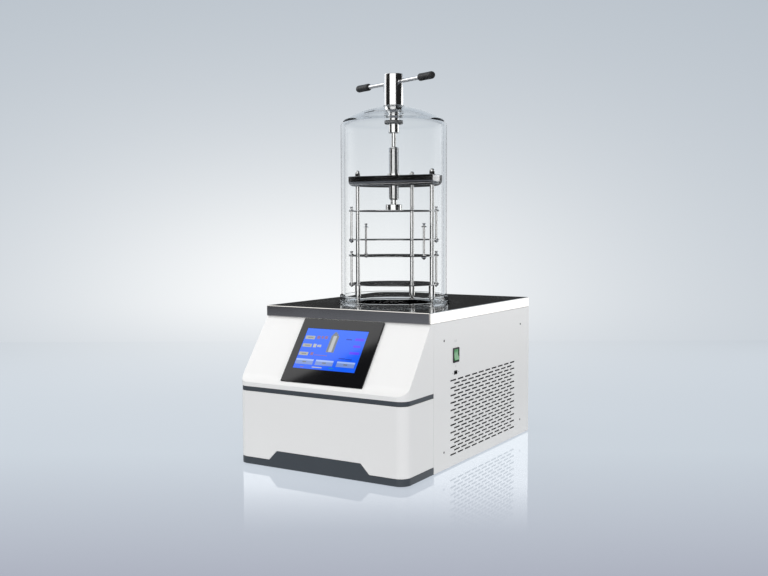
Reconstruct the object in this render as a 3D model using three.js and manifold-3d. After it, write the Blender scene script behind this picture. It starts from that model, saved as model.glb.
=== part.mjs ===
// Benchtop freeze dryer with a stoppering rack: a sheet-metal cabinet with a sloped touch screen front,
// a clear bell over the cold trap, and a T-handle that turns a press screw onto four hanging shelves.
// Millimetres, +Z up. Front is -Y. The origin is on the floor, at the centre of the footprint.
import * as THREE from 'three';
import { mergeVertices } from 'three/addons/utils/BufferGeometryUtils.js';
import Module from 'manifold-3d';

const wasm = await Module();
wasm.setup();

// ---------------------------------------------------------------- driving dimensions

const gap = 0.3; // assembly gap between touching pieces
const runningGap = 0.6; // round a piece that turns or slides

const cabinet = {
  width: 450,
  height: 364,
  plateDepth: 561,
  plateSheet: 1.5,
  plateSkirt: 25,
  plateFold: 12, // return fold at the skirt's foot
  plateChamfer: 1.5,
  chamberSetback: 228, // chamber axis behind the plate's front edge
  frontReach: 110.3, // front shells ahead of the plate
  cornerRadius: 25,
  seamSetback: 18, // seam between front shells and side panels
  shellWall: 3,
  panelSheet: 1.2,
  panelFlange: 16,
  floorGap: 2.5,
};

const trim = {
  height: 16,
  notchTop: 38.5, // above the trim's foot
  notchHalfTop: 113,
  notchHalfFoot: 135.5,
  stripeFoot: 173.7, // above the floor
  stripeHeight: 10.4,
  stripeInset: 0.8,
};

const fascia = {
  topSetback: 5, // slope's top edge behind the plate's front edge
  lipHeight: 10.4, // upright lip over the stripe
  flareDepth: 22.2, // curved foot of the slope, front to back
  flareHeight: 17.5,
};

const screen = {
  width: 220,
  length: 168,
  fromTop: 3.5,
  cornerRadius: 2.5,
  thickness: 4,
  housingInset: 12,
  housingDepth: 22,
  windowWidth: 168,
  windowLength: 106,
  windowFromTop: 26,
  windowLeft: 20,
  glassThickness: 3,
  glassSink: 0.4,
};

const grille = {
  length: 367.5,
  height: 172,
  centreBehindAxis: 54.7,
  centreHeight: 115.3,
  slotLength: 30,
  slotWidth: 3.4,
  slotPitch: 37.5,
  rowPitch: 8.6,
};

const leftGrille = {
  ...grille,
  length: 142.5,
  height: 51.6,
  centreBehindAxis: 110,
  centreHeight: 110,
};

const powerSwitch = {
  behindAxis: -103,
  centreHeight: 258.4,
  width: 29,
  height: 34,
  rim: 3,
  rimThickness: 2.2,
  depth: 18,
  wellWall: 1.5,
  pivotDepth: 4,
  rockerBulge: 3.2,
  rockerClearance: 1.1, // above and below the rocker
  rockerHub: 5, // from the pivot to the rocker's back
  tilt: -7, // degrees about Y, foot of the rocker out
  tiltReach: 1.6, // how far the tilt brings the rocker's foot out
};

const dataPort = {
  centreHeight: 217.7,
  width: 16,
  height: 8.6,
  depth: 14,
  end: 4, // solid end of the socket
  wall: 1.4,
  reach: 0.4, // out from the side panel
  earWidth: 38,
  earHeight: 13,
  earThickness: 1.5,
};

const rear = {
  reach: 24, // what stands out behind the rear panel
  inletX: -150,
  inletZ: 60,
  inletWidth: 28,
  inletHeight: 22,
  inletDepth: 26,
  inletWall: 2,
  inletEnd: 8, // solid end of the socket
  inletFlange: 3,
  inletBorder: 6,
  valveX: 130,
  valveZ: 290,
  valveRadius: 8,
  valveDepth: 26,
  valveNut: 5,
  valveNutWidth: 4,
  knobFoot: 9, // out from the panel
  knobRadius: 14,
  fluteRadius: 3.5,
  fluteCount: 6,
};

const foot = { radius: 18, height: 10, inset: 45 };
const panSheet = 1.5;
const panFlange = 22;

const trap = {
  radius: 92,
  wall: 1.2,
  depth: 150,
  flangeWidth: 10,
  flangeThickness: 2,
  tubeRadius: 4,
  turns: 3,
  stepsPerTurn: 10,
  coilPitch: 24,
  coilFoot: 14, // above the well's floor
  foamSide: 240,
  foamFloor: 25,
};

const port = {
  radius: 16,
  wall: 2,
  drop: 44, // axis below the plate
  rimWidth: 6,
  rimThickness: 4,
  plateSide: 48, // square plate over the panel's square hole
  plateThickness: 2,
  sides: 16,
};

const bell = {
  radius: 131.5,
  wall: 8,
  height: 487, // crown above the plate
  crownRadius: 234,
  knuckleRadius: 18,
  holeRadius: 25,
  sides: 30, // facets round the bell and its seal
};

const seal = {
  floor: 2.9,
  innerRadius: 119,
  lipRadius: 142.5,
  uprightHeight: 20,
  uprightWall: 3.2,
};

// Heights from here on are above the top plate.
const handle = {
  hubRadius: 25,
  hubTop: 565,
  hubFoot: 487.3,
  coneFoot: 472,
  coneTopRadius: 22,
  neckRadius: 13,
  neckFoot: 421,
  barHeight: 545.5,
  barRadius: 5,
  barLength: 300,
  barHeading: -21.2, // degrees from +X
  gripRadius: 9,
  gripLength: 50,
  gripCap: 5, // solid end past the bar
  collarRadius: 23,
  collarFoot: 443,
  collarHeight: 11,
  glandFoot: 470,
};

const screw = {
  threadRadius: 10,
  top: 387,
  foot: 256,
  endRadius: 8,
  endFoot: 233.3,
  shaftRadius: 6,
  shaftFlat: 4.6, // flat's distance from the axis
  shaftTop: 470,
  padRadius: 20,
  padHeight: 15,
};

const rack = {
  turn: 3.4, // degrees, as it stands on the plate
  shelfRadius: 112.5,
  shelfThickness: 1.8,
  shelfHeights: [227.4, 156.4, 116.5, 46.3], // undersides, from the top shelf down
  columnCircle: 103.8,
  columnRadius: 5,
  sleeveRadius: 8,
  sleeveFoot: 10,
  headTop: 316,
  headThickness: 25,
  headRadius: 120,
  headFront: 25, // straight front edge ahead of the axis
  headRounding: 12.5,
  headChamfer: 2.5,
  nutRadius: 7,
  nutHeight: 15.5,
  studHeight: 9,
  screwNutRadius: 15,
  screwNutFlange: 5,
  screwNutBody: 12.5,
};

const rod = {
  circle: 106,
  radius: 2.75,
  headHeight: 10,
  baseRadius: 7.5,
  skirtHeight: 4.5,
  flareRadius: 4,
  collarRadius: 4.8,
  collarHeight: 2,
  coneHeight: 7.2,
  outerAngles: [117, 297], // degrees from the front, towards +X
  innerAngles: [70, 250],
  innerHeadTop: 198,
  clearHead: 0.5,
};

const plant = {
  compressorX: -90,
  compressorY: 215,
  compressorRadius: 68,
  compressorHeight: 165,
  bracketWidth: 142.8,
  bracketDepth: 108.8,
  bracketThickness: 4,
  terminalReach: 14,
  terminalWidth: 44,
  terminalHeight: 50,
  condenserStandoff: 17.8, // in from the right side panel
  condenserDepth: 38,
  condenserWidth: 220,
  condenserHeight: 160,
  finPitch: 18,
  finThickness: 3,
  finSpine: 6,
  shroudThickness: 10,
  fanRadius: 70,
  fanHubRadius: 20,
  motorRadius: 22,
  motorLength: 32,
  motorSetback: 12, // ahead of the shroud
  motorShaftRadius: 3,
  motorShaftLength: 14,
  holderStart: 6, // from the motor's end
  holderWidth: 8,
  armWidth: 10,
  armThickness: 4,
  bladeCount: 5,
  bladeThickness: 1.6,
  bladeWidth: 30,
  bladePitch: 28, // degrees
  controlWidth: 180,
  controlDepth: 60,
  controlHeight: 110,
  controlSetback: 8, // behind the base pan's front edge
};

// ---------------------------------------------------------------- places that follow from them

const halfWidth = cabinet.width / 2;
const plateFront = -cabinet.chamberSetback;
const plateRear = plateFront + cabinet.plateDepth;
const front = plateFront - cabinet.frontReach;
const seam = plateFront + cabinet.seamSetback;
const skirtFoot = cabinet.height - cabinet.plateSkirt;
const underPlate = cabinet.height - cabinet.plateSheet;
const bodyFoot = cabinet.floorGap;
const bodyTop = skirtFoot - gap;
const panFloor = foot.height;
const panTop = panFloor + panSheet;
const stripeTop = trim.stripeFoot + trim.stripeHeight;
const lipTop = stripeTop + fascia.lipHeight;
const panelInside = halfWidth - cabinet.panelSheet;
const rearReach = plateRear + rear.reach;
const portAxis = [0, cabinet.height - port.drop]; // x and z
const rockerReach = halfWidth + powerSwitch.rockerBulge + powerSwitch.tiltReach;
const footprint = new THREE.Vector2((rockerReach - halfWidth) / 2, (front + rearReach) / 2);

// ---------------------------------------------------------------- materials

const finish = (color, roughness, metalness, extra = {}) =>
  new THREE.MeshStandardMaterial({ color, roughness, metalness, ...extra });
const white = finish(0xe7e8e8, 0.35, 0);
const slate = finish(0x3b4147, 0.45, 0);
const steel = finish(0xc9ccce, 0.15, 1);
const brushed = finish(0xb4b7b9, 0.35, 1);
const zinc = finish(0xa5a8aa, 0.5, 1);
const blackGloss = finish(0x1b1c1e, 0.12, 0);
const blackPlastic = finish(0x202224, 0.5, 0);
const display = finish(0x3c6ff0, 0.1, 0);
const green = finish(0x2f8f4a, 0.25, 0);
const acrylic = finish(0xe9f1f4, 0.05, 0, { transparent: true, opacity: 0.25 });
const silicone = finish(0xd9dcdc, 0.4, 0, { transparent: true, opacity: 0.7 });
const greyPlastic = finish(0x8b8f92, 0.5, 0);
const ptfe = finish(0xf2f2ef, 0.4, 0);
const foam = finish(0x2c2d2f, 0.9, 0);
const copper = finish(0xb87345, 0.35, 1);
const rubber = finish(0x17181a, 0.8, 0);
const blackEnamel = finish(0x141517, 0.35, 0.2);

// ---------------------------------------------------------------- solids: making, cutting, joining

/** Welds a geometry's corners, drops empty triangles and turns its faces outward. */
function weld(geometry) {
  const bare = geometry.clone();
  bare.deleteAttribute('normal');
  bare.deleteAttribute('uv');
  const merged = mergeVertices(bare, 1e-4);
  const kept = [];
  let volume = 0;
  const [a, b, c] = [new THREE.Vector3(), new THREE.Vector3(), new THREE.Vector3()];
  for (let i = 0; i < merged.index.count; i += 3) {
    const corners = [0, 1, 2].map((k) => merged.index.getX(i + k));
    if (new Set(corners).size < 3) continue;
    kept.push(...corners);
    [a, b, c].forEach((point, k) => point.fromBufferAttribute(merged.attributes.position, corners[k]));
    volume += a.dot(b.cross(c));
  }
  if (volume < 0) kept.reverse();
  merged.setIndex(kept);
  return merged;
}

function toManifold(geometry) {
  const welded = weld(geometry);
  const mesh = new wasm.Mesh({
    numProp: 3,
    vertProperties: new Float32Array(welded.attributes.position.array),
    triVerts: new Uint32Array(welded.index.array),
  });
  return new wasm.Manifold(mesh);
}

function toGeometry(manifold) {
  const mesh = manifold.getMesh();
  const geometry = new THREE.BufferGeometry();
  geometry.setAttribute('position', new THREE.BufferAttribute(new Float32Array(mesh.vertProperties), 3));
  geometry.setIndex(new THREE.BufferAttribute(new Uint32Array(mesh.triVerts), 1));
  return geometry;
}

const cut = (body, ...tools) =>
  toGeometry(tools.reduce((left, tool) => left.subtract(toManifold(tool)), toManifold(body)));
const join = (body, ...others) =>
  toGeometry(others.reduce((left, other) => left.add(toManifold(other)), toManifold(body)));
const common = (body, other) => toGeometry(toManifold(body).intersect(toManifold(other)));

function box([x0, x1], [y0, y1], [z0, z1]) {
  const geometry = new THREE.BoxGeometry(x1 - x0, y1 - y0, z1 - z0);
  return geometry.translate((x0 + x1) / 2, (y0 + y1) / 2, (z0 + z1) / 2);
}

/** Extrudes a shape between two stations along z, x (shape in y, z) or y (shape in x, z). */
function prism(shape, [start, end], axis = 'z', curveSegments = 4) {
  const depth = end - start;
  const geometry = new THREE.ExtrudeGeometry(shape, { depth, bevelEnabled: false, curveSegments });
  if (axis === 'z') return geometry.translate(0, 0, start);
  const basis = new THREE.Matrix4();
  if (axis === 'x') {
    basis.makeBasis(new THREE.Vector3(0, 1, 0), new THREE.Vector3(0, 0, 1), new THREE.Vector3(1, 0, 0));
    return geometry.applyMatrix4(basis).translate(start, 0, 0);
  }
  basis.makeBasis(new THREE.Vector3(1, 0, 0), new THREE.Vector3(0, 0, 1), new THREE.Vector3(0, -1, 0));
  return geometry.applyMatrix4(basis).translate(0, end, 0);
}

/** Skins plan outlines of equal corner count, one per [inset, height] level, into a closed body. */
function loft(outlineAt, levels) {
  const rings = levels.map(([inset]) => outlineAt(inset));
  const count = rings[0].length;
  const positions = rings.flatMap((ring, level) => ring.flatMap(([x, y]) => [x, y, levels[level][1]]));
  const faces = [];
  for (let level = 0; level + 1 < rings.length; level += 1) {
    for (let i = 0; i < count; i += 1) {
      const [low, lowNext] = [level * count + i, level * count + ((i + 1) % count)];
      faces.push(low, lowNext, lowNext + count, low, lowNext + count, low + count);
    }
  }
  const cap = (ring) => THREE.ShapeUtils.triangulateShape(ring.map(([x, y]) => new THREE.Vector2(x, y)), []);
  const topStart = (rings.length - 1) * count;
  cap(rings[0]).forEach(([i, j, k]) => faces.push(k, j, i));
  cap(rings.at(-1)).forEach(([i, j, k]) => faces.push(topStart + i, topStart + j, topStart + k));
  const geometry = new THREE.BufferGeometry();
  geometry.setAttribute('position', new THREE.Float32BufferAttribute(positions, 3));
  return geometry.setIndex(faces);
}

/** Levels of a plate with its foot edge rounded and its top edge chamfered. */
function roundedLevels([low, high], footRadius, topChamfer, steps = 3) {
  const rounded = Array.from({ length: steps + 1 }, (_, i) => {
    const angle = ((Math.PI / 2) * i) / steps;
    return [footRadius * (1 - Math.sin(angle)), low + footRadius * (1 - Math.cos(angle))];
  });
  return [...rounded, [0, high - topChamfer], [topChamfer, high]];
}

/** Revolves [radius, height] points about the vertical axis. A profile off the axis is closed on itself. */
function lathe(profile, segments = 32) {
  const points = profile.map(([radius, height]) => new THREE.Vector2(radius, height));
  const onAxis = points[0].x === 0 && points.at(-1).x === 0;
  if (!onAxis) points.push(points[0].clone());
  return new THREE.LatheGeometry(points, segments).rotateX(Math.PI / 2);
}

/** A round bar from one end to the other along z, x or y. */
function rodAlong(axis, radius, [start, end], [u, v] = [0, 0], segments = 20) {
  const geometry = new THREE.CylinderGeometry(radius, radius, end - start, segments).rotateX(Math.PI / 2);
  const middle = (start + end) / 2;
  if (axis === 'z') return geometry.translate(u, v, middle);
  if (axis === 'x') return geometry.rotateY(Math.PI / 2).translate(middle, u, v);
  return geometry.rotateX(Math.PI / 2).translate(u, middle, v);
}

/** Corner radius of a many-sided bore whose flats stay clear of a radius. */
const boreRadius = (radius, sides) => radius / Math.cos(Math.PI / sides);

/** Cutter for a round hole whose flats stay clear of the radius. */
const bore = (axis, radius, span, place, sides = 16) =>
  rodAlong(axis, boreRadius(radius, sides), span, place, sides);

function outline(points) {
  return new THREE.Shape(points.map(([u, v]) => new THREE.Vector2(u, v)));
}

/** Corner points of a rounded rectangle about a middle, drawn in by an inset. */
function rectangleOutline(width, height, radius, [u, v] = [0, 0], inset = 0, steps = 3) {
  const [right, top] = [width / 2 - radius, height / 2 - radius];
  const corners = [[right, top], [-right, top], [-right, -top], [right, -top]];
  return corners.flatMap(([du, dv], quarter) =>
    Array.from({ length: steps + 1 }, (_, i) => {
      const angle = (Math.PI / 2) * (quarter + i / steps);
      const reach = radius - inset;
      return [u + du + reach * Math.cos(angle), v + dv + reach * Math.sin(angle)];
    }));
}

const roundedRectangle = (...dimensions) => outline(rectangleOutline(...dimensions));

/** Points on a circle of the profile plane, from one angle to another in degrees from the axis. */
function arc([r, z], radius, from, to, steps) {
  return Array.from({ length: steps + 1 }, (_, i) => {
    const angle = THREE.MathUtils.degToRad(from + ((to - from) * i) / steps);
    return [r + radius * Math.sin(angle), z + radius * Math.cos(angle)];
  });
}

/** A place on a circle about the chamber axis, at an angle in degrees from the front towards +X. */
function aroundAxis(radius, degrees) {
  const angle = THREE.MathUtils.degToRad(degrees);
  return [radius * Math.sin(angle), -radius * Math.cos(angle)];
}

const machine = new THREE.Group();
machine.position.set(-footprint.x, -footprint.y, 0);

function add(name, geometry, material, parent = machine) {
  const welded = weld(geometry);
  welded.computeVertexNormals();
  const mesh = new THREE.Mesh(welded, material);
  mesh.name = name;
  parent.add(mesh);
  return mesh;
}

// ---------------------------------------------------------------- cabinet

/** Plan of the front shells, open to the back: straight sides, rounded front corners. */
function frontPlan(inset, back) {
  const [side, nose] = [halfWidth - inset, front + inset];
  const radius = cabinet.cornerRadius - inset;
  const shape = new THREE.Shape();
  shape.moveTo(-side, back);
  shape.lineTo(-side, nose + radius);
  shape.absarc(-side + radius, nose + radius, radius, Math.PI, 1.5 * Math.PI);
  shape.absarc(side - radius, nose + radius, radius, 1.5 * Math.PI, 2 * Math.PI);
  shape.lineTo(side, back);
  shape.closePath();
  return shape;
}

/** A band of the front shells between two heights, of the given wall, open to the back. */
function frontBand([low, high], inset = 0) {
  const outer = prism(frontPlan(inset, seam), [low, high]);
  const inner = prism(frontPlan(inset + cabinet.shellWall, seam + 1), [low - 1, high + 1]);
  return cut(outer, inner);
}

const slopeTop = [plateFront + fascia.topSetback, bodyTop];
const slopeFoot = [front + fascia.flareDepth, lipTop + fascia.flareHeight];
const slopeAngle = Math.atan2(slopeTop[1] - slopeFoot[1], slopeTop[0] - slopeFoot[0]);

/** Side view of the upper shell, in y and z: flat under the plate, sloped, flared out to an upright lip. */
function fasciaSide(inset) {
  const back = inset / Math.sin(slopeAngle);
  const kink = [
    slopeFoot[0] - Math.cos(slopeAngle) * fascia.flareDepth * 0.55,
    slopeFoot[1] - Math.sin(slopeAngle) * fascia.flareDepth * 0.55,
  ];
  const shape = new THREE.Shape();
  shape.moveTo(front - 1 + back, stripeTop - 1);
  shape.lineTo(front - 1 + back, lipTop);
  shape.lineTo(front + back, lipTop);
  shape.quadraticCurveTo(kink[0] + back, kink[1], slopeFoot[0] + back, slopeFoot[1]);
  const drop = inset / Math.tan(slopeAngle);
  shape.lineTo(slopeTop[0] + back - drop, slopeTop[1] - inset);
  shape.lineTo(seam + 2, slopeTop[1] - inset);
  shape.lineTo(seam + 2, stripeTop - 1);
  shape.closePath();
  return shape;
}

function upperShell(...screenCuts) {
  const beyond = [-halfWidth - 1, halfWidth + 1];
  const outer = common(
    prism(frontPlan(0, seam), [stripeTop + gap, bodyTop]),
    prism(fasciaSide(0), beyond, 'x'),
  );
  const wall = cabinet.shellWall;
  const hollow = common(
    prism(frontPlan(wall, seam + 1), [stripeTop - 0.5, bodyTop + 1]),
    prism(fasciaSide(wall), beyond, 'x'),
  );
  return cut(outer, hollow, ...screenCuts);
}

/** The raised middle of the base trim, in x and z. */
function notchShape(margin) {
  const foot = bodyFoot + trim.height;
  const crest = bodyFoot + trim.notchTop;
  return outline([
    [-trim.notchHalfFoot - margin, foot - 1],
    [trim.notchHalfFoot + margin, foot - 1],
    [trim.notchHalfFoot + margin, foot],
    [trim.notchHalfTop + margin, crest + margin],
    [-trim.notchHalfTop - margin, crest + margin],
    [-trim.notchHalfFoot - margin, foot],
  ]);
}

function topPlate() {
  const middle = [0, (plateFront + plateRear) / 2];
  const plan = (inset) => rectangleOutline(cabinet.width, cabinet.plateDepth, 3, middle, inset, 2);
  const body = loft(plan, roundedLevels([skirtFoot, cabinet.height], 0.4, cabinet.plateChamfer, 1));
  const inside = (inset) => [
    [-halfWidth + inset, halfWidth - inset],
    [plateFront + inset, plateRear - inset],
  ];
  const sheet = cabinet.plateSheet;
  const hollow = box(...inside(sheet), [skirtFoot + sheet, underPlate]);
  const mouth = box(...inside(cabinet.plateFold), [skirtFoot - 1, skirtFoot + sheet + 1]);
  const hole = bore('z', trap.radius, [underPlate - 1, cabinet.height + 1], [0, 0], 28);
  return cut(body, hollow, mouth, hole);
}

/** One staggered field of slots, as a cutter that goes through a side panel. */
function slotField(field, [x0, x1]) {
  const slots = [];
  const rows = Math.floor(field.height / field.rowPitch + 0.5) + 1;
  const perRow = Math.floor((field.length - field.slotLength) / field.slotPitch + 0.5) + 1;
  for (let row = 0; row < rows; row += 1) {
    const count = row % 2 ? perRow - 1 : perRow;
    const z = field.centreHeight + (row - (rows - 1) / 2) * field.rowPitch;
    for (let i = 0; i < count; i += 1) {
      const y = field.centreBehindAxis + (i - (count - 1) / 2) * field.slotPitch;
      const [halfLength, halfSlot] = [field.slotLength / 2, field.slotWidth / 2];
      slots.push(toManifold(box([x0, x1], [y - halfLength, y + halfLength], [z - halfSlot, z + halfSlot])));
    }
  }
  return toGeometry(wasm.Manifold.compose(slots));
}

/** A folded side panel: upright sheet with a flange under the plate. side is +1 right, -1 left. */
function sidePanel(side, field, ...windows) {
  const across = (a, b) => (side > 0 ? [a, b] : [-b, -a]);
  const lengthwise = [seam + gap, plateRear];
  const sheet = box(across(panelInside, halfWidth), lengthwise, [bodyFoot, bodyTop]);
  const flange = box(
    across(halfWidth - cabinet.panelFlange, halfWidth - 0.2),
    [seam + gap, plateRear - cabinet.panelSheet - 2 * gap],
    [bodyTop - cabinet.panelSheet, bodyTop],
  );
  return cut(join(sheet, flange), slotField(field, across(panelInside - 1, halfWidth + 1)), ...windows);
}

function addCabinet() {
  const panWidth = halfWidth - cabinet.shellWall - gap;
  const panRear = plateRear - cabinet.panelSheet - gap;
  const panFront = front + cabinet.cornerRadius;
  const panSection = outline([
    [-panWidth, panFloor],
    [panWidth, panFloor],
    [panWidth, panFloor + panFlange],
    [panWidth - panSheet, panFloor + panFlange],
    [panWidth - panSheet, panTop],
    [-panWidth + panSheet, panTop],
    [-panWidth + panSheet, panFloor + panFlange],
    [-panWidth, panFloor + panFlange],
  ]);
  add('base_pan', prism(panSection, [panFront, panRear], 'y'), zinc);
  const footX = halfWidth - foot.inset;
  const [footFront, footRear] = [panFront + foot.inset, plateRear - foot.inset];
  const footSpots = {
    foot_front_left: [-footX, footFront],
    foot_front_right: [footX, footFront],
    foot_rear_left: [-footX, footRear],
    foot_rear_right: [footX, footRear],
  };
  for (const [name, [x, y]] of Object.entries(footSpots)) {
    const profile = [
      [0, 0],
      [foot.radius - 1.5, 0],
      [foot.radius, 1.5],
      [foot.radius - 3, foot.height - gap],
      [0, foot.height - gap],
    ];
    add(name, lathe(profile, 12).translate(x, y, 0), rubber);
  }
  const across = [halfWidth - 4, halfWidth + 1];
  const switchWindow = box(
    across,
    centred(powerSwitch.behindAxis, powerSwitch.width - powerSwitch.rim + 2 * gap),
    centred(powerSwitch.centreHeight, powerSwitch.height - powerSwitch.rim + 2 * gap),
  );
  const portWindow = box(
    across,
    centred(powerSwitch.behindAxis, dataPort.width + 2 * gap),
    centred(dataPort.centreHeight, dataPort.height + 2 * gap),
  );
  add('right_side_panel', sidePanel(1, grille, switchWindow, portWindow), white);
  add('left_side_panel', sidePanel(-1, leftGrille), white);

  const rearSheet = box(
    [-panelInside + gap, panelInside - gap],
    [plateRear - cabinet.panelSheet, plateRear],
    [bodyFoot, bodyTop],
  );
  const through = [plateRear - 3, plateRear + 1];
  const portSide = 2 * (port.radius + gap);
  const portHole = box(centred(portAxis[0], portSide), through, centred(portAxis[1], portSide));
  const valveHole = bore('y', rear.valveRadius + gap, through, [rear.valveX, rear.valveZ]);
  const inletHole = box(
    centred(rear.inletX, rear.inletWidth + 2 * gap),
    through,
    centred(rear.inletZ, rear.inletHeight + 2 * gap),
  );
  add('rear_panel', cut(rearSheet, portHole, valveHole, inletHole), white);
  add('top_plate', topPlate(), steel);
}

function centred(middle, size) {
  return [middle - size / 2, middle + size / 2];
}

// ---------------------------------------------------------------- front shells and touch screen

const screenSeat = 0.05; // flat seat for the screen where the flare rises over the slope

/** Frame on the slope: origin at the slope's top edge, y up the slope, z out of it. */
const slopePlace = new THREE.Matrix4()
  .makeRotationX(slopeAngle)
  .setPosition(0, slopeTop[0], slopeTop[1]);

function addFront() {
  const middle = -screen.fromTop - screen.length / 2;
  const housingWidth = screen.width - 2 * screen.housingInset;
  const housingLength = screen.length - 2 * screen.housingInset;
  const opening = box(
    centred(0, housingWidth + 2 * gap),
    centred(middle, housingLength + 2 * gap),
    [-30, 10],
  ).applyMatrix4(slopePlace);
  const seat = box(
    centred(0, screen.width + 2 * gap),
    centred(middle, screen.length + 2 * gap),
    [screenSeat, 10],
  ).applyMatrix4(slopePlace);
  add('front_upper_shell', upperShell(opening, seat), white);

  const stripe = frontBand([trim.stripeFoot, stripeTop], trim.stripeInset);
  add('trim_stripe', stripe, slate);
  const lower = frontBand([bodyFoot + trim.height + gap, trim.stripeFoot - gap]);
  const nose = [front - 1, front + cabinet.shellWall + 1];
  add('front_lower_shell', cut(lower, prism(notchShape(gap), nose, 'y')), white);
  const band = frontBand([bodyFoot, bodyFoot + trim.height]);
  const raised = prism(notchShape(0), [front, front + cabinet.shellWall], 'y');
  add('base_trim', join(band, raised), slate);

  const place = new THREE.Group();
  place.applyMatrix4(slopePlace);
  machine.add(place);
  const face = (inset) =>
    rectangleOutline(screen.width, screen.length, screen.cornerRadius, [0, middle], inset, 2);
  const bezel = loft(face, roundedLevels([gap, gap + screen.thickness], 0.3, 0.8, 1));
  const housing = box(
    centred(0, housingWidth),
    centred(middle, housingLength),
    [-screen.housingDepth, gap + screen.thickness / 2],
  );
  const windowX = -screen.width / 2 + screen.windowLeft + screen.windowWidth / 2;
  const windowY = -screen.fromTop - screen.windowFromTop - screen.windowLength / 2;
  const bezelTop = gap + screen.thickness;
  const glassFoot = bezelTop - screen.glassSink - screen.glassThickness;
  const recess = box(
    centred(windowX, screen.windowWidth),
    centred(windowY, screen.windowLength),
    [glassFoot - gap, bezelTop + 1],
  );
  add('screen_bezel', cut(join(bezel, housing), recess), blackGloss, place);
  const glass = box(
    centred(windowX, screen.windowWidth - 2 * gap),
    centred(windowY, screen.windowLength - 2 * gap),
    [glassFoot, glassFoot + screen.glassThickness],
  );
  add('display_panel', glass, display, place);
}

// ---------------------------------------------------------------- switch, data port and rear fittings

function addSwitch() {
  const { behindAxis: y, centreHeight: z, rim, depth, wellWall, rockerHub } = powerSwitch;
  const [bodyWidth, bodyHeight] = [powerSwitch.width - rim, powerSwitch.height - rim];
  const flangeFoot = halfWidth + gap;
  const flange = prism(
    roundedRectangle(powerSwitch.width, powerSwitch.height, 2, [y, z]),
    [flangeFoot, flangeFoot + powerSwitch.rimThickness],
    'x',
  );
  const body = box([halfWidth - depth, flangeFoot + 1], centred(y, bodyWidth), centred(z, bodyHeight));
  const [wellWidth, wellHeight] = [bodyWidth - 2 * wellWall, bodyHeight - 2 * wellWall];
  const well = box(
    [halfWidth - depth + wellWall, halfWidth + depth],
    centred(y, wellWidth),
    centred(z, wellHeight),
  );
  add('switch_bezel', cut(join(flange, body), well), blackPlastic);

  const hingeX = halfWidth - powerSwitch.pivotDepth;
  const reach = wellHeight / 2 - powerSwitch.rockerClearance;
  const bulge = powerSwitch.pivotDepth + powerSwitch.rockerBulge;
  const side = outline([
    [-rockerHub, -rockerHub + 1],
    [-rockerHub, rockerHub - 1],
    [0, reach - 1],
    [bulge - 1.6, reach],
    [bulge, reach - 0.6],
    [bulge - 2, 0],
    [bulge, -reach + 0.6],
    [bulge - 1.6, -reach],
    [0, -reach + 1],
  ]);
  const rocker = new THREE.Group();
  rocker.position.set(hingeX, y, z);
  rocker.rotation.y = THREE.MathUtils.degToRad(powerSwitch.tilt);
  machine.add(rocker);
  const half = wellWidth / 2 - runningGap;
  add('power_rocker', prism(side, [-half, half], 'y'), green, rocker);
}

function addDataPort() {
  const { centreHeight: z, width, height, depth, wall } = dataPort;
  const y = powerSwitch.behindAxis;
  const tube = box([halfWidth - depth, halfWidth + dataPort.reach], centred(y, width), centred(z, height));
  const ears = box(
    [panelInside - gap - dataPort.earThickness, panelInside - gap],
    centred(y, dataPort.earWidth),
    centred(z, dataPort.earHeight),
  );
  const socket = box(
    [halfWidth - depth + dataPort.end, halfWidth + 1],
    centred(y, width - 2 * wall),
    centred(z, height - 2 * wall),
  );
  add('data_port', cut(join(tube, ears), socket), blackPlastic);
}

function addRearFittings() {
  const { inletX, inletZ, inletWidth, inletHeight, inletWall, inletBorder } = rear;
  const seat = plateRear + gap;
  const flange = prism(
    roundedRectangle(inletWidth + 2 * inletBorder, inletHeight + inletBorder, 3, [inletX, inletZ]),
    [seat, seat + rear.inletFlange],
    'y',
  );
  const bodyStart = seat - rear.inletDepth;
  const body = box(centred(inletX, inletWidth), [bodyStart, seat + 1], centred(inletZ, inletHeight));
  const socket = box(
    centred(inletX, inletWidth - 2 * inletWall),
    [bodyStart + rear.inletEnd, seat + rear.inletFlange + 1],
    centred(inletZ, inletHeight - 2 * inletWall),
  );
  add('power_inlet', cut(join(flange, body), socket), blackPlastic);

  const tubeStart = trap.radius + trap.wall + gap;
  const rimStart = rearReach - port.rimThickness;
  const along = (radius, span) => rodAlong('y', radius, span, portAxis, port.sides);
  const tube = along(port.radius, [tubeStart, rimStart + 1]);
  const rim = along(port.radius + port.rimWidth, [rimStart, rearReach]);
  const plate = box(
    centred(portAxis[0], port.plateSide),
    [seat, seat + port.plateThickness],
    centred(portAxis[1], port.plateSide),
  );
  const passage = along(port.radius - port.wall, [tubeStart - 1, rearReach + 1]);
  add('vacuum_port', cut(join(tube, rim, plate), passage), brushed);

  const valveAxis = [rear.valveX, rear.valveZ];
  const stem = rodAlong('y', rear.valveRadius, [seat - rear.valveDepth, seat + rear.knobFoot], valveAxis, 16);
  const nutRadius = rear.valveRadius + rear.valveNutWidth;
  const nut = rodAlong('y', nutRadius, [seat, seat + rear.valveNut], valveAxis, 6);
  add('air_valve_body', join(stem, nut), brushed);
  const knobFoot = seat + rear.knobFoot + gap;
  const knob = rodAlong('y', rear.knobRadius, [knobFoot, rearReach], [0, 0], 24);
  const flutes = Array.from({ length: rear.fluteCount }, (_, i) => {
    const place = aroundAxis(rear.knobRadius + 1.5, (i * 360) / rear.fluteCount);
    return rodAlong('y', rear.fluteRadius, [knobFoot - 1, rearReach + 1], place, 6);
  });
  add('air_valve_knob', cut(knob, ...flutes).translate(rear.valveX, 0, rear.valveZ), blackPlastic);
}

// ---------------------------------------------------------------- cold trap and refrigeration

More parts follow.
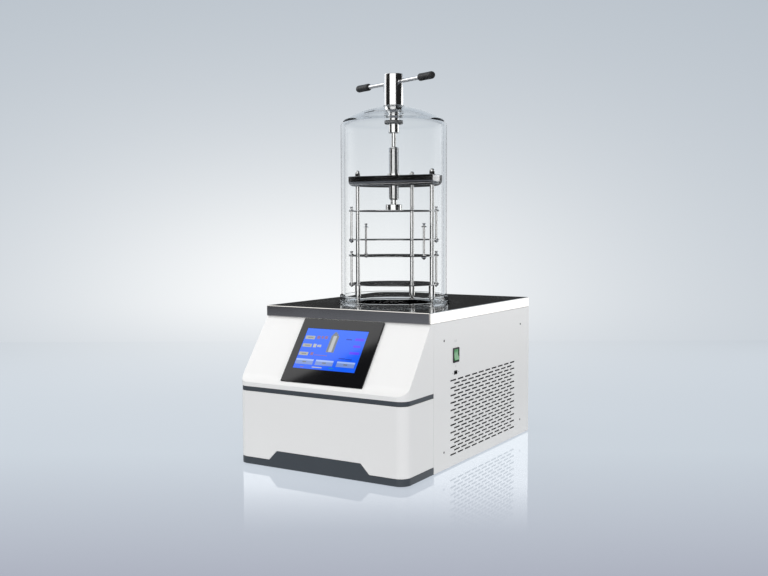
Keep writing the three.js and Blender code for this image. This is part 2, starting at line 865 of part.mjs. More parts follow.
function addColdTrap() {
  const flangeTop = underPlate - gap;
  const flangeFoot = flangeTop - trap.flangeThickness;
  const outerRadius = trap.radius + trap.wall;
  const wellFloor = cabinet.height - trap.depth;
  const profile = [
    [0, wellFloor],
    [outerRadius, wellFloor],
    [outerRadius, flangeFoot],
    [outerRadius + trap.flangeWidth, flangeFoot],
    [outerRadius + trap.flangeWidth, flangeTop],
    [trap.radius, flangeTop],
    [trap.radius, wellFloor + trap.wall],
    [0, wellFloor + trap.wall],
  ];
  const portSpan = [trap.radius / 2, outerRadius + 2];
  const portBore = rodAlong('y', port.radius - port.wall, portSpan, portAxis, port.sides);
  add('cold_trap_well', cut(lathe(profile, 28), portBore), brushed);

  const chordShare = Math.cos(Math.PI / trap.stepsPerTurn);
  const coilRadius = (outerRadius + gap + trap.tubeRadius) / chordShare;
  class CoilPath extends THREE.Curve {
    getPoint(t, target = new THREE.Vector3()) {
      const angle = 2 * Math.PI * trap.turns * t;
      const climb = wellFloor + trap.coilFoot + trap.coilPitch * trap.turns * t;
      return target.set(coilRadius * Math.sin(angle), -coilRadius * Math.cos(angle), climb);
    }
  }
  const tube = new THREE.Shape().absarc(0, 0, trap.tubeRadius, 0, 2 * Math.PI);
  const coil = new THREE.ExtrudeGeometry(tube, {
    extrudePath: new CoilPath(),
    steps: trap.turns * trap.stepsPerTurn,
    curveSegments: 3,
    bevelEnabled: false,
  });
  add('evaporator_coil', coil, copper);

  const cavityRadius = coilRadius + trap.tubeRadius + gap;
  const block = prism(
    roundedRectangle(trap.foamSide, trap.foamSide, 20),
    [wellFloor - trap.foamFloor, flangeFoot - gap],
  );
  const cavity = bore('z', cavityRadius, [wellFloor - gap, flangeFoot + 1], [0, 0], 24);
  const portWay = bore('y', port.radius + gap, [trap.radius, trap.foamSide], portAxis);
  add('trap_insulation', cut(block, cavity, portWay), foam);
}

function addCompressor() {
  const { compressorX: x, compressorY: y, compressorRadius: radius, compressorHeight: height } = plant;
  const floor = panTop + gap;
  const can = lathe([
    [0, floor],
    [radius * 0.7, floor],
    [radius, floor + height * 0.15],
    [radius, floor + height * 0.72],
    [radius * 0.88, floor + height * 0.9],
    [radius * 0.55, floor + height],
    [0, floor + height],
  ], 18).translate(x, y, 0);
  const { bracketWidth, bracketDepth, terminalReach, terminalWidth, terminalHeight } = plant;
  const bracket = box(
    centred(x, bracketWidth),
    centred(y, bracketDepth),
    [floor, floor + plant.bracketThickness],
  );
  const terminals = box(
    [x - radius - terminalReach, x],
    centred(y, terminalWidth),
    centred(floor + height * 0.45, terminalHeight),
  );
  add('compressor', join(can, bracket, terminals), blackEnamel);
}

function addCondenserAndFan() {
  const { condenserDepth, condenserWidth, condenserHeight } = plant;
  const x0 = panelInside - plant.condenserStandoff - condenserDepth;
  const y0 = grille.centreBehindAxis - condenserWidth / 2;
  const floor = panTop + gap;
  const top = floor + condenserHeight;
  const fins = [];
  const count = Math.floor((condenserWidth - plant.finThickness) / plant.finPitch);
  const margin = (condenserWidth - count * plant.finPitch - plant.finThickness) / 2;
  const [finRoot, finTip] = [x0 + plant.finSpine, x0 + condenserDepth];
  for (let i = 0; i <= count; i += 1) {
    const y = y0 + margin + i * plant.finPitch;
    fins.push([finTip, y], [finTip, y + plant.finThickness]);
    if (i < count) fins.push([finRoot, y + plant.finThickness], [finRoot, y + plant.finPitch]);
  }
  const last = y0 + margin + count * plant.finPitch + plant.finThickness;
  const comb = outline([[x0, last], [x0, y0 + margin], ...fins]);
  add('condenser_block', prism(comb, [floor, top]), brushed);

  const hub = [grille.centreBehindAxis, floor + condenserHeight / 2];
  const shroudEnd = x0 - gap;
  const shroudStart = shroudEnd - plant.shroudThickness;
  const motorEnd = shroudStart - plant.motorSetback;
  const motorStart = motorEnd - plant.motorLength;
  const ringStart = motorStart + plant.holderStart;
  const ringEnd = ringStart + plant.holderWidth;
  const square = box([shroudStart, shroudEnd], centred(hub[0], condenserWidth), [floor, top]);
  const throat = bore('x', plant.fanRadius + 3, [shroudStart - 1, shroudEnd + 1], hub, 20);
  const ringRadius = plant.motorRadius + gap;
  const ring = rodAlong('x', ringRadius + 4, [ringStart, ringEnd], hub, 16);
  const seat = bore('x', ringRadius, [ringStart - 1, ringEnd + 1], hub);
  const armReach = plant.fanRadius + 8;
  const armSides = centred(0, plant.armWidth);
  const arm = join(
    box([ringStart, ringStart + plant.armThickness], [ringRadius + 2, armReach], armSides),
    box([ringStart, shroudStart + 1], [armReach - plant.armThickness, armReach], armSides),
  );
  const arms = [0, 1, 2, 3].map((i) => arm.clone().rotateX((i * Math.PI) / 2).translate(0, ...hub));
  add('fan_shroud', cut(join(cut(square, throat), ring, ...arms), seat), blackPlastic);

  const shaftEnd = motorEnd + plant.motorShaftLength;
  const motor = rodAlong('x', plant.motorRadius, [motorStart, motorEnd], hub, 16);
  const shaft = rodAlong('x', plant.motorShaftRadius, [motorEnd - 1, shaftEnd], hub, 12);
  add('fan_motor', join(motor, shaft), zinc);

  const rotorStart = motorEnd + 2;
  const rotorEnd = shroudEnd - 2;
  const cap = rodAlong('x', plant.fanHubRadius, [rotorStart, rotorEnd], [0, 0], 16);
  const bladeLength = plant.fanRadius - plant.fanHubRadius + 4;
  const blade = new THREE.BoxGeometry(plant.bladeThickness, bladeLength, plant.bladeWidth)
    .rotateY(THREE.MathUtils.degToRad(plant.bladePitch))
    .translate((rotorStart + rotorEnd) / 2, (plant.fanRadius + plant.fanHubRadius) / 2 - 2, 0);
  const blades = Array.from({ length: plant.bladeCount }, (_, i) =>
    blade.clone().rotateX((2 * Math.PI * i) / plant.bladeCount));
  const round = rodAlong('x', plant.fanRadius, [rotorStart, rotorEnd], [0, 0], 20);
  const shaftHole = bore('x', plant.motorShaftRadius + gap, [rotorStart - 1, shaftEnd + gap], [0, 0], 12);
  add('fan_rotor', cut(common(join(cap, ...blades), round), shaftHole).translate(0, ...hub), blackPlastic);
}

function addControlBox() {
  const start = front + cabinet.cornerRadius + plant.controlSetback;
  const body = box(
    centred(0, plant.controlWidth),
    [start, start + plant.controlDepth],
    [panTop + gap, panTop + gap + plant.controlHeight],
  );
  add('control_box', body, zinc);
}

// ---------------------------------------------------------------- bell, seal and T-handle

/** Pieces above the plate are modelled from its top face. */
const chamber = new THREE.Group();
chamber.position.z = cabinet.height;
machine.add(chamber);

function addBell() {
  const { radius, wall, crownRadius, knuckleRadius, holeRadius } = bell;
  const rimFoot = gap + seal.floor + gap;
  const crownCentre = bell.height - crownRadius;
  const knuckle = [radius - knuckleRadius, 0];
  knuckle[1] = crownCentre + Math.sqrt((crownRadius - knuckleRadius) ** 2 - knuckle[0] ** 2);
  const meet = THREE.MathUtils.radToDeg(Math.asin(knuckle[0] / (crownRadius - knuckleRadius)));
  const holeAngle = (r) => THREE.MathUtils.radToDeg(Math.asin(holeRadius / r));
  const profile = [
    [radius, rimFoot],
    ...arc(knuckle, knuckleRadius, 90, meet, 3),
    ...arc([0, crownCentre], crownRadius, meet, holeAngle(crownRadius), 3).slice(1),
    ...arc([0, crownCentre], crownRadius - wall, holeAngle(crownRadius - wall), meet, 2),
    ...arc(knuckle, knuckleRadius - wall, meet, 90, 2).slice(1),
    [radius - wall, rimFoot],
  ];
  add('acrylic_bell', lathe(profile, bell.sides), acrylic, chamber);

  const lipWall = 1.2;
  const bellSide = radius + gap;
  const sealProfile = [
    [seal.innerRadius, gap],
    [seal.lipRadius - 3.5, gap],
    [seal.lipRadius, gap + 2 * lipWall],
    [bellSide + seal.uprightWall + 1.5, gap + seal.floor + 2.8],
    [bellSide + seal.uprightWall, seal.uprightHeight],
    [bellSide, seal.uprightHeight],
    [bellSide, gap + seal.floor],
    [seal.innerRadius, gap + seal.floor],
  ];
  add('seal_ring', lathe(sealProfile, bell.sides), silicone, chamber);

  const glandTop = handle.hubFoot - gap;
  const glandRadius = holeRadius - gap;
  const glandSides = 16;
  const neckBore = boreRadius(handle.neckRadius + gap, glandSides);
  const glandProfile = [
    [neckBore, handle.glandFoot],
    [glandRadius, handle.glandFoot],
    [glandRadius, glandTop],
    [boreRadius(handle.coneTopRadius + gap, glandSides), glandTop],
    [neckBore, handle.coneFoot],
  ];
  add('gland_bush', lathe(glandProfile, glandSides), ptfe, chamber);
}

/** A round bar's section with one flat. */
function flattedCircle(radius, flat) {
  const half = Math.acos(flat / radius);
  return new THREE.Shape().absarc(0, 0, radius, half, 2 * Math.PI - half).closePath();
}

function addHandle() {
  const turned = new THREE.Group();
  turned.rotation.z = THREE.MathUtils.degToRad(handle.barHeading);
  chamber.add(turned);
  const body = lathe([
    [0, handle.neckFoot],
    [handle.neckRadius, handle.neckFoot],
    [handle.neckRadius, handle.coneFoot],
    [handle.coneTopRadius, handle.hubFoot],
    [handle.hubRadius, handle.hubFoot],
    [handle.hubRadius, handle.hubTop - 2],
    [handle.hubRadius - 2, handle.hubTop],
    [0, handle.hubTop],
  ], 20);
  const socket = prism(
    flattedCircle(screw.shaftRadius + gap, screw.shaftFlat + gap),
    [handle.neckFoot - 1, screw.shaftTop + 4],
    'z',
    6,
  );
  const barAxis = [0, handle.barHeight];
  const barWay = bore('x', handle.barRadius + gap, centred(0, 4 * handle.hubRadius), barAxis, 12);
  add('handle_hub', cut(body, socket, barWay), steel, turned);

  const barEnd = handle.barLength / 2 - handle.gripCap - gap;
  add('handle_bar', rodAlong('x', handle.barRadius, [-barEnd, barEnd], barAxis, 12), steel, turned);
  const { gripRadius, gripLength } = handle;
  const grip = cut(
    lathe([
      [0, 0],
      [gripRadius - 1.5, 0],
      [gripRadius, 2],
      [gripRadius, gripLength - 4],
      [gripRadius - 3, gripLength],
      [0, gripLength],
    ], 12),
    bore('z', handle.barRadius + gap, [-1, gripLength - handle.gripCap], [0, 0], 12),
  );
  for (const [name, side] of [['grip_left', -1], ['grip_right', 1]]) {
    const placed = grip.clone().rotateY((side * Math.PI) / 2);
    placed.translate(side * (handle.barLength / 2 - gripLength), 0, handle.barHeight);
    add(name, placed, rubber, turned);
  }
  const collarTop = handle.collarFoot + handle.collarHeight;
  const collarSides = 16;
  const collarBore = boreRadius(handle.neckRadius + gap, collarSides);
  const collarProfile = [
    [collarBore, handle.collarFoot],
    [handle.collarRadius - 2, handle.collarFoot],
    [handle.collarRadius, handle.collarFoot + 2],
    [handle.collarRadius, collarTop - 2],
    [handle.collarRadius - 2, collarTop],
    [collarBore, collarTop],
  ];
  add('retaining_collar', lathe(collarProfile, collarSides), greyPlastic, turned);

  const threaded = lathe([
    [0, screw.endFoot],
    [screw.endRadius - 1, screw.endFoot],
    [screw.endRadius, screw.endFoot + 1],
    [screw.endRadius, screw.foot],
    [screw.threadRadius, screw.foot + 2],
    [screw.threadRadius, screw.top - 2],
    [screw.threadRadius - 2, screw.top],
    [0, screw.top],
  ], 16);
  const shaft = prism(
    flattedCircle(screw.shaftRadius, screw.shaftFlat),
    [screw.top - 1, screw.shaftTop],
    'z',
    6,
  );
  add('press_screw', join(threaded, shaft), steel, turned);
}

// ---------------------------------------------------------------- shelf rack

const rackPlace = new THREE.Group();
rackPlace.rotation.z = THREE.MathUtils.degToRad(rack.turn);
chamber.add(rackPlace);

const columnAngles = { left: 270, back: 180, right: 90 };

/** Plan of the head plate: a round plate cut straight across in front of the screw. */
function headPlan(inset) {
  const radius = rack.headRadius - inset;
  const corner = Math.asin((rack.headFront - inset) / radius);
  const steps = 24;
  return Array.from({ length: steps + 1 }, (_, i) => {
    const angle = -corner + ((Math.PI + 2 * corner) * i) / steps;
    return [radius * Math.cos(angle), radius * Math.sin(angle)];
  });
}

function addHead() {
  const headFoot = rack.headTop - rack.headThickness;
  const nutSides = 16;
  const plate = loft(headPlan, roundedLevels([headFoot, rack.headTop], rack.headRounding, rack.headChamfer));
  const through = [headFoot - 1, rack.headTop + 1];
  const columnHoles = Object.values(columnAngles).map((angle) =>
    bore('z', rack.columnRadius + gap, through, aroundAxis(rack.columnCircle, angle), 12));
  const nutHole = bore('z', rack.screwNutBody + gap, through, [0, 0], nutSides);
  add('head_plate', cut(plate, nutHole, ...columnHoles), steel, rackPlace);

  const threadBore = boreRadius(screw.threadRadius + gap, nutSides);
  const nutProfile = [
    [threadBore, headFoot + 1],
    [rack.screwNutBody, headFoot + 1],
    [rack.screwNutBody, rack.headTop + gap],
    [rack.screwNutRadius, rack.headTop + gap],
    [rack.screwNutRadius, rack.headTop + gap + rack.screwNutFlange],
    [threadBore, rack.headTop + gap + rack.screwNutFlange],
  ];
  add('screw_nut', lathe(nutProfile, nutSides), steel, rackPlace);
}

function addColumns() {
  const shelfSeat = rack.shelfHeights.at(-1) - gap;
  const [radius, sleeve] = [rack.columnRadius, rack.sleeveRadius];
  const profile = [
    [0, gap],
    [sleeve - 1, gap],
    [sleeve - 1, gap + 3],
    [radius - 1, gap + 5],
    [radius - 1, rack.sleeveFoot],
    [sleeve, rack.sleeveFoot + 1],
    [sleeve, shelfSeat - 1],
    [sleeve - 1, shelfSeat],
    [radius, shelfSeat],
    [radius, rack.headTop + rack.studHeight],
    [0, rack.headTop + rack.studHeight],
  ];
  const nutFoot = rack.headTop + gap;
  const hex = lathe([
    [0, nutFoot],
    [rack.nutRadius, nutFoot],
    [rack.nutRadius, nutFoot + rack.nutHeight * 0.5],
    [0, nutFoot + rack.nutHeight * 0.5],
  ], 6);
  const dome = lathe([
    [0, nutFoot + rack.nutHeight * 0.4],
    [rack.nutRadius * 0.84, nutFoot + rack.nutHeight * 0.4],
    [rack.nutRadius * 0.84, nutFoot + rack.nutHeight * 0.65],
    [rack.nutRadius * 0.6, nutFoot + rack.nutHeight * 0.9],
    [0, nutFoot + rack.nutHeight],
  ], 8);
  const stud = bore('z', radius + gap, [nutFoot - 1, rack.headTop + rack.studHeight + gap], [0, 0], 10);
  const nut = cut(join(hex, dome), stud);
  for (const [name, angle] of Object.entries(columnAngles)) {
    const [x, y] = aroundAxis(rack.columnCircle, angle);
    add(`column_${name}`, lathe(profile, 10).translate(x, y, 0), steel, rackPlace);
    add(`column_nut_${name}`, nut.clone().translate(x, y, 0), steel, rackPlace);
  }
}

function addShelves() {
  const last = rack.shelfHeights.length - 1;
  rack.shelfHeights.forEach((height, index) => {
    const disc = rodAlong('z', rack.shelfRadius, [height, height + rack.shelfThickness], [0, 0], 26);
    const through = [height - 1, height + rack.shelfThickness + 1];
    const columnHoles = Object.values(columnAngles).map((angle) =>
      bore('z', rack.columnRadius + gap, through, aroundAxis(rack.columnCircle, angle), 8));
    const outermost = index === 0 || index === last;
    const rodAngles = outermost ? rod.outerAngles : [...rod.outerAngles, ...rod.innerAngles];
    const rodHoles = rodAngles.map((angle) =>
      bore('z', rod.radius + gap, through, aroundAxis(rod.circle, angle), 6));
    add(`shelf_${index + 1}`, cut(disc, ...columnHoles, ...rodHoles), brushed, rackPlace);
  });
  const padFoot = rack.shelfHeights[0] + rack.shelfThickness + gap;
  const padTop = padFoot + screw.padHeight;
  const padSides = 16;
  const socketRadius = boreRadius(screw.endRadius + gap, padSides);
  const socketFoot = screw.endFoot - gap;
  const pad = lathe([
    [0, padFoot],
    [screw.padRadius, padFoot],
    [screw.padRadius, padTop - 2],
    [screw.padRadius - 2, padTop],
    [socketRadius, padTop],
    [socketRadius, socketFoot],
    [0, socketFoot],
  ], padSides);
  add('press_foot', pad, steel, rackPlace);
}

/** A hanger rod: a collar and a pointed nut hold it to the lower shelf, its head is above the upper one. */
function hangerRod(lowerShelf, headTop) {
  const under = lowerShelf - gap;
  const over = lowerShelf + rack.shelfThickness + gap;
  const base = headTop - rod.headHeight;
  return lathe([
    [0, under - rod.coneHeight],
    [rod.collarRadius, under - rod.collarHeight - 1],
    [rod.collarRadius, under],
    [rod.radius, under],
    [rod.radius, over],
    [rod.collarRadius, over],
    [rod.collarRadius, over + rod.collarHeight],
    [rod.radius, over + rod.collarHeight],
    [rod.radius, base],
    [rod.baseRadius, base],
    [rod.radius, base + rod.skirtHeight],
    [rod.flareRadius, headTop],
    [0, headTop],
  ], 6);
}

function addHangerRods() {
  const [top, second, third, bottom] = rack.shelfHeights;
  const above = (shelf) => shelf + rack.shelfThickness + rod.clearHead + rod.headHeight;
  const sets = [
    ['upper_rod', second, above(top), rod.outerAngles],
    ['middle_rod', third, rod.innerHeadTop, rod.innerAngles],
    ['lower_rod', bottom, above(third), rod.outerAngles],
  ];
  for (const [name, shelf, headTop, angles] of sets) {
    angles.forEach((angle, index) => {
      const [x, y] = aroundAxis(rod.circle, angle);
      const hanger = hangerRod(shelf, headTop).translate(x, y, 0);
      add(`${name}_${index ? 'left' : 'right'}`, hanger, steel, rackPlace);
    });
  }
}

addCabinet();
addFront();
addSwitch();
addDataPort();
addRearFittings();
addColdTrap();
addCompressor();
addCondenserAndFan();
addControlBox();
addBell();
addHandle();
addHead();
addColumns();
addShelves();
addHangerRods();

const dryer = new THREE.Group();
dryer.add(machine);
export default dryer;
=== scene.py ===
"""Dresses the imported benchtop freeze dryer: finishes, smooth pieces, screen, grille, thread, lights and camera."""

import logging
import math
from dataclasses import dataclass
from enum import Enum
from typing import Sequence

import bmesh
import bpy
from mathutils import Matrix, Vector


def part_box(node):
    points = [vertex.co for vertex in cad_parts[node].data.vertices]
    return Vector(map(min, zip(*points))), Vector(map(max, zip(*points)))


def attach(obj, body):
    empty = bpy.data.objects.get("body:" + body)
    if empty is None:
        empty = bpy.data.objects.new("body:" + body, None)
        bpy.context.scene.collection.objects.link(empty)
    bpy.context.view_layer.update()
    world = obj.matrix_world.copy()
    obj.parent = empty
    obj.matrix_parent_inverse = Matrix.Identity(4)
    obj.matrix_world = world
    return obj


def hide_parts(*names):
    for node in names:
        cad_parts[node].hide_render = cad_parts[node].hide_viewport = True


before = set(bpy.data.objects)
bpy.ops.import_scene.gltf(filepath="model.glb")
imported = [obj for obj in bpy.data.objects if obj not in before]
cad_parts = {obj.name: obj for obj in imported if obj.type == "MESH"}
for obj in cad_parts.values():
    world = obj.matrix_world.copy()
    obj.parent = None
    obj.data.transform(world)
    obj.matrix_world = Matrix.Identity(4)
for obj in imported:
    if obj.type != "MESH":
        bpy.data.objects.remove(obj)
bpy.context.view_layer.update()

log = logging.getLogger("freeze_dryer")

MM = 0.001
SEAT_GAP = 0.3 * MM
Point = tuple[float, float]
Place = tuple[float, float, float]


# ------------------------------------------------------------------------------------------------ shader helpers


class Nodes:
    """Adds and joins nodes in one tree."""

    def __init__(self, tree: bpy.types.NodeTree) -> None:
        """Starts on a tree.

        Args:
            tree: The material's, world's or group's node tree.
        """
        self.tree = tree

    def link(self, source: bpy.types.NodeSocket, target: bpy.types.NodeSocket) -> None:
        """Joins an output to an input."""
        self.tree.links.new(source, target)

    def add(self, kind: str, inputs: dict | None = None, **settings: object) -> bpy.types.Node:
        """Adds a node.

        Args:
            kind: The node's type name.
            inputs: Values or output sockets for its inputs, by name or index; a list joins several to one input.
            settings: Properties of the node.

        Returns:
            The new node.
        """
        node = self.tree.nodes.new(kind)
        for name, value in settings.items():
            setattr(node, name, value)
        for key, value in (inputs or {}).items():
            for one in value if isinstance(value, list) else [value]:
                if isinstance(one, bpy.types.NodeSocket):
                    self.link(one, node.inputs[key])
                else:
                    node.inputs[key].default_value = one
        return node

    def math(self, operation: str, first: object, second: object = 0.0) -> bpy.types.NodeSocket:
        """Adds a Math node and returns its value."""
        return self.add("ShaderNodeMath", {0: first, 1: second}, operation=operation).outputs[0]

    def vector(
        self, operation: str, first: object, second: object = (0.0, 0.0, 0.0), result: str = "Vector",
    ) -> bpy.types.NodeSocket:
        """Adds a Vector Math node and returns its vector or its value."""
        key = "Scale" if operation == "SCALE" else 1
        return self.add("ShaderNodeVectorMath", {0: first, key: second}, operation=operation).outputs[result]

    def ramp(
        self, value: object, start: float, end: float, first: float = 0.0, last: float = 1.0,
    ) -> bpy.types.NodeSocket:
        """Adds a Map Range node from one range to another and returns its value."""
        return self.add("ShaderNodeMapRange", {0: value, 1: start, 2: end, 3: first, 4: last}).outputs[0]


def new_group(name: str, inputs: dict[str, tuple[str, object]], outputs: dict[str, str]) -> bpy.types.NodeTree:
    """Makes an empty shader node group.

    Args:
        name: The group's name.
        inputs: Socket kind and default value by name.
        outputs: Socket kind by name.

    Returns:
        The group, with its input and output nodes.
    """
    group = bpy.data.node_groups.new(name, "ShaderNodeTree")
    for label, (kind, default) in inputs.items():
        socket = group.interface.new_socket(name=label, in_out="INPUT", socket_type=kind)
        socket.default_value = default
    for label, kind in outputs.items():
        group.interface.new_socket(name=label, in_out="OUTPUT", socket_type=kind)
    group.nodes.new("NodeGroupInput")
    group.nodes.new("NodeGroupOutput")
    return group


def grain_group() -> bpy.types.NodeTree:
    """Builds the shared grain: a stretched fine noise as a height and a tone round one."""
    group = new_group(
        "SurfaceGrain",
        {
            "Stretch": ("NodeSocketVector", (1.0, 1.0, 1.0)),
            "Scale": ("NodeSocketFloat", 800.0),
            "Contrast": ("NodeSocketFloat", 0.05),
        },
        {"Height": "NodeSocketFloat", "Tone": "NodeSocketFloat"},
    )
    shader = Nodes(group)
    source, sink = group.nodes["Group Input"], group.nodes["Group Output"]
    place = shader.add("ShaderNodeTexCoord")
    stretched = shader.add(
        "ShaderNodeMapping", {"Vector": place.outputs["Object"], "Scale": source.outputs["Stretch"]},
    )
    noise = shader.add(
        "ShaderNodeTexNoise",
        {"Vector": stretched.outputs[0], "Scale": source.outputs["Scale"], "Detail": 4.0, "Roughness": 0.6},
    )
    spread = shader.math("SUBTRACT", noise.outputs[0], 0.5)
    tone = shader.math("ADD", shader.math("MULTIPLY", spread, source.outputs["Contrast"]), 1.0)
    group.links.new(noise.outputs[0], sink.inputs["Height"])
    group.links.new(tone, sink.inputs["Tone"])
    return group


def handling_group() -> bpy.types.NodeTree:
    """Builds the shared handling marks: broad soft patches that change the gloss a little."""
    group = new_group(
        "HandlingMarks",
        {"Gloss": ("NodeSocketFloat", 0.3), "Spread": ("NodeSocketFloat", 0.06), "Scale": ("NodeSocketFloat", 9.0)},
        {"Roughness": "NodeSocketFloat", "Mask": "NodeSocketFloat"},
    )
    shader = Nodes(group)
    source, sink = group.nodes["Group Input"], group.nodes["Group Output"]
    place = shader.add("ShaderNodeTexCoord")
    noise = shader.add(
        "ShaderNodeTexNoise",
        {"Vector": place.outputs["Object"], "Scale": source.outputs["Scale"], "Detail": 5.0, "Roughness": 0.55},
    )
    mask = shader.ramp(noise.outputs[0], 0.35, 0.7)
    swing = shader.math("MULTIPLY", shader.math("SUBTRACT", mask, 0.5), source.outputs["Spread"])
    group.links.new(shader.math("ADD", source.outputs["Gloss"], swing), sink.inputs["Roughness"])
    group.links.new(mask, sink.inputs["Mask"])
    return group


GRAIN = grain_group()
HANDLING = handling_group()


def set_principled(material: bpy.types.Material, values: dict[str, object]) -> bpy.types.Node:
    """Sets plain values on a material's Principled shader.

    Args:
        material: The material.
        values: Socket values by name.

    Returns:
        The Principled node.
    """
    node = material.node_tree.nodes["Principled BSDF"]
    for name, value in values.items():
        node.inputs[name].default_value = value
    return node


def placed_group(shader: Nodes, group: bpy.types.NodeTree, values: dict[str, object]) -> bpy.types.Node:
    """Places a shared group in a material with its own values."""
    node = shader.add("ShaderNodeGroup", node_tree=group)
    for name, value in values.items():
        node.inputs[name].default_value = value
    return node


def blank_material(name: str) -> tuple[bpy.types.Material, Nodes, bpy.types.Node]:
    """Makes a node material and returns it with its shader helper and Principled node."""
    material = bpy.data.materials.new(name)
    material.use_nodes = True
    shader = Nodes(material.node_tree)
    return material, shader, material.node_tree.nodes["Principled BSDF"]


@dataclass(frozen=True)
class SolidFinish:
    """A painted, plated, moulded or polished finish with a fine grain and handling marks."""

    name: str
    colour: tuple[float, float, float]
    roughness: float
    metallic: float = 0.0
    coat: float = 0.0
    specular: float = 0.5
    stretch: tuple[float, float, float] = (1.0, 1.0, 1.0)
    grain_scale: float = 900.0
    grain_depth: float = 0.02
    contrast: float = 0.03
    gloss_spread: float = 0.05

    def build(self) -> bpy.types.Material:
        """Builds the material."""
        material, shader, principled = blank_material(self.name)
        values = {"Metallic": self.metallic, "Specular IOR Level": self.specular}
        if self.coat:
            values |= {"Coat Weight": self.coat, "Coat Roughness": 0.03}
        set_principled(material, values)
        grain_values = {"Stretch": self.stretch, "Scale": self.grain_scale, "Contrast": self.contrast}
        grain = placed_group(shader, GRAIN, grain_values)
        marks = placed_group(shader, HANDLING, {"Gloss": self.roughness, "Spread": self.gloss_spread})
        tinted = shader.vector("SCALE", self.colour, grain.outputs["Tone"])
        shader.link(tinted, principled.inputs["Base Color"])
        shader.link(marks.outputs["Roughness"], principled.inputs["Roughness"])
        bump = shader.add(
            "ShaderNodeBump",
            {"Strength": self.grain_depth, "Distance": 0.0004, "Height": grain.outputs["Height"]},
        )
        shader.link(bump.outputs[0], principled.inputs["Normal"])
        return material


@dataclass(frozen=True)
class ClearFinish:
    """A clear or cloudy see-through plastic."""

    name: str
    colour: tuple[float, float, float]
    roughness: float
    transmission: float
    ior: float = 1.49

    def build(self) -> bpy.types.Material:
        """Builds the material."""
        material, _, _ = blank_material(self.name)
        set_principled(material, {
            "Base Color": (*self.colour, 1.0),
            "Roughness": self.roughness,
            "Transmission Weight": self.transmission,
            "IOR": self.ior,
        })
        return material


@dataclass(frozen=True)
class LitFinish:
    """A part of the lit screen, or a lamp lens: colour that glows a little by itself."""

    name: str
    colour: tuple[float, float, float]
    glow: float
    far_colour: tuple[float, float, float] | None = None
    base: float = 0.25
    roughness: float = 0.06

    def build(self) -> bpy.types.Material:
        """Builds the material, shaded from one colour to the other up the object where it has two."""
        material, shader, principled = blank_material(self.name)
        set_principled(material, {
            "Base Color": (*(self.base * part for part in self.colour), 1.0),
            "Roughness": self.roughness,
            "Emission Strength": self.glow,
            "Emission Color": (*self.colour, 1.0),
        })
        if self.far_colour is not None:
            place = shader.add("ShaderNodeTexCoord")
            parts = shader.add("ShaderNodeSeparateXYZ", {0: place.outputs["Object"]})
            low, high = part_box("display_panel")
            along = shader.ramp(parts.outputs["Z"], low[2], high[2])
            across = shader.ramp(parts.outputs["X"], low[0], high[0], 0.0, 0.35)
            share = shader.math("SUBTRACT", along, across)
            mixed = shader.add("ShaderNodeMix", {"Factor": share}, data_type="RGBA")
            mixed.inputs[6].default_value = (*self.colour, 1.0)
            mixed.inputs[7].default_value = (*self.far_colour, 1.0)
            shader.link(mixed.outputs[2], principled.inputs["Emission Color"])
        return material


BUILT: dict[str, bpy.types.Material] = {}


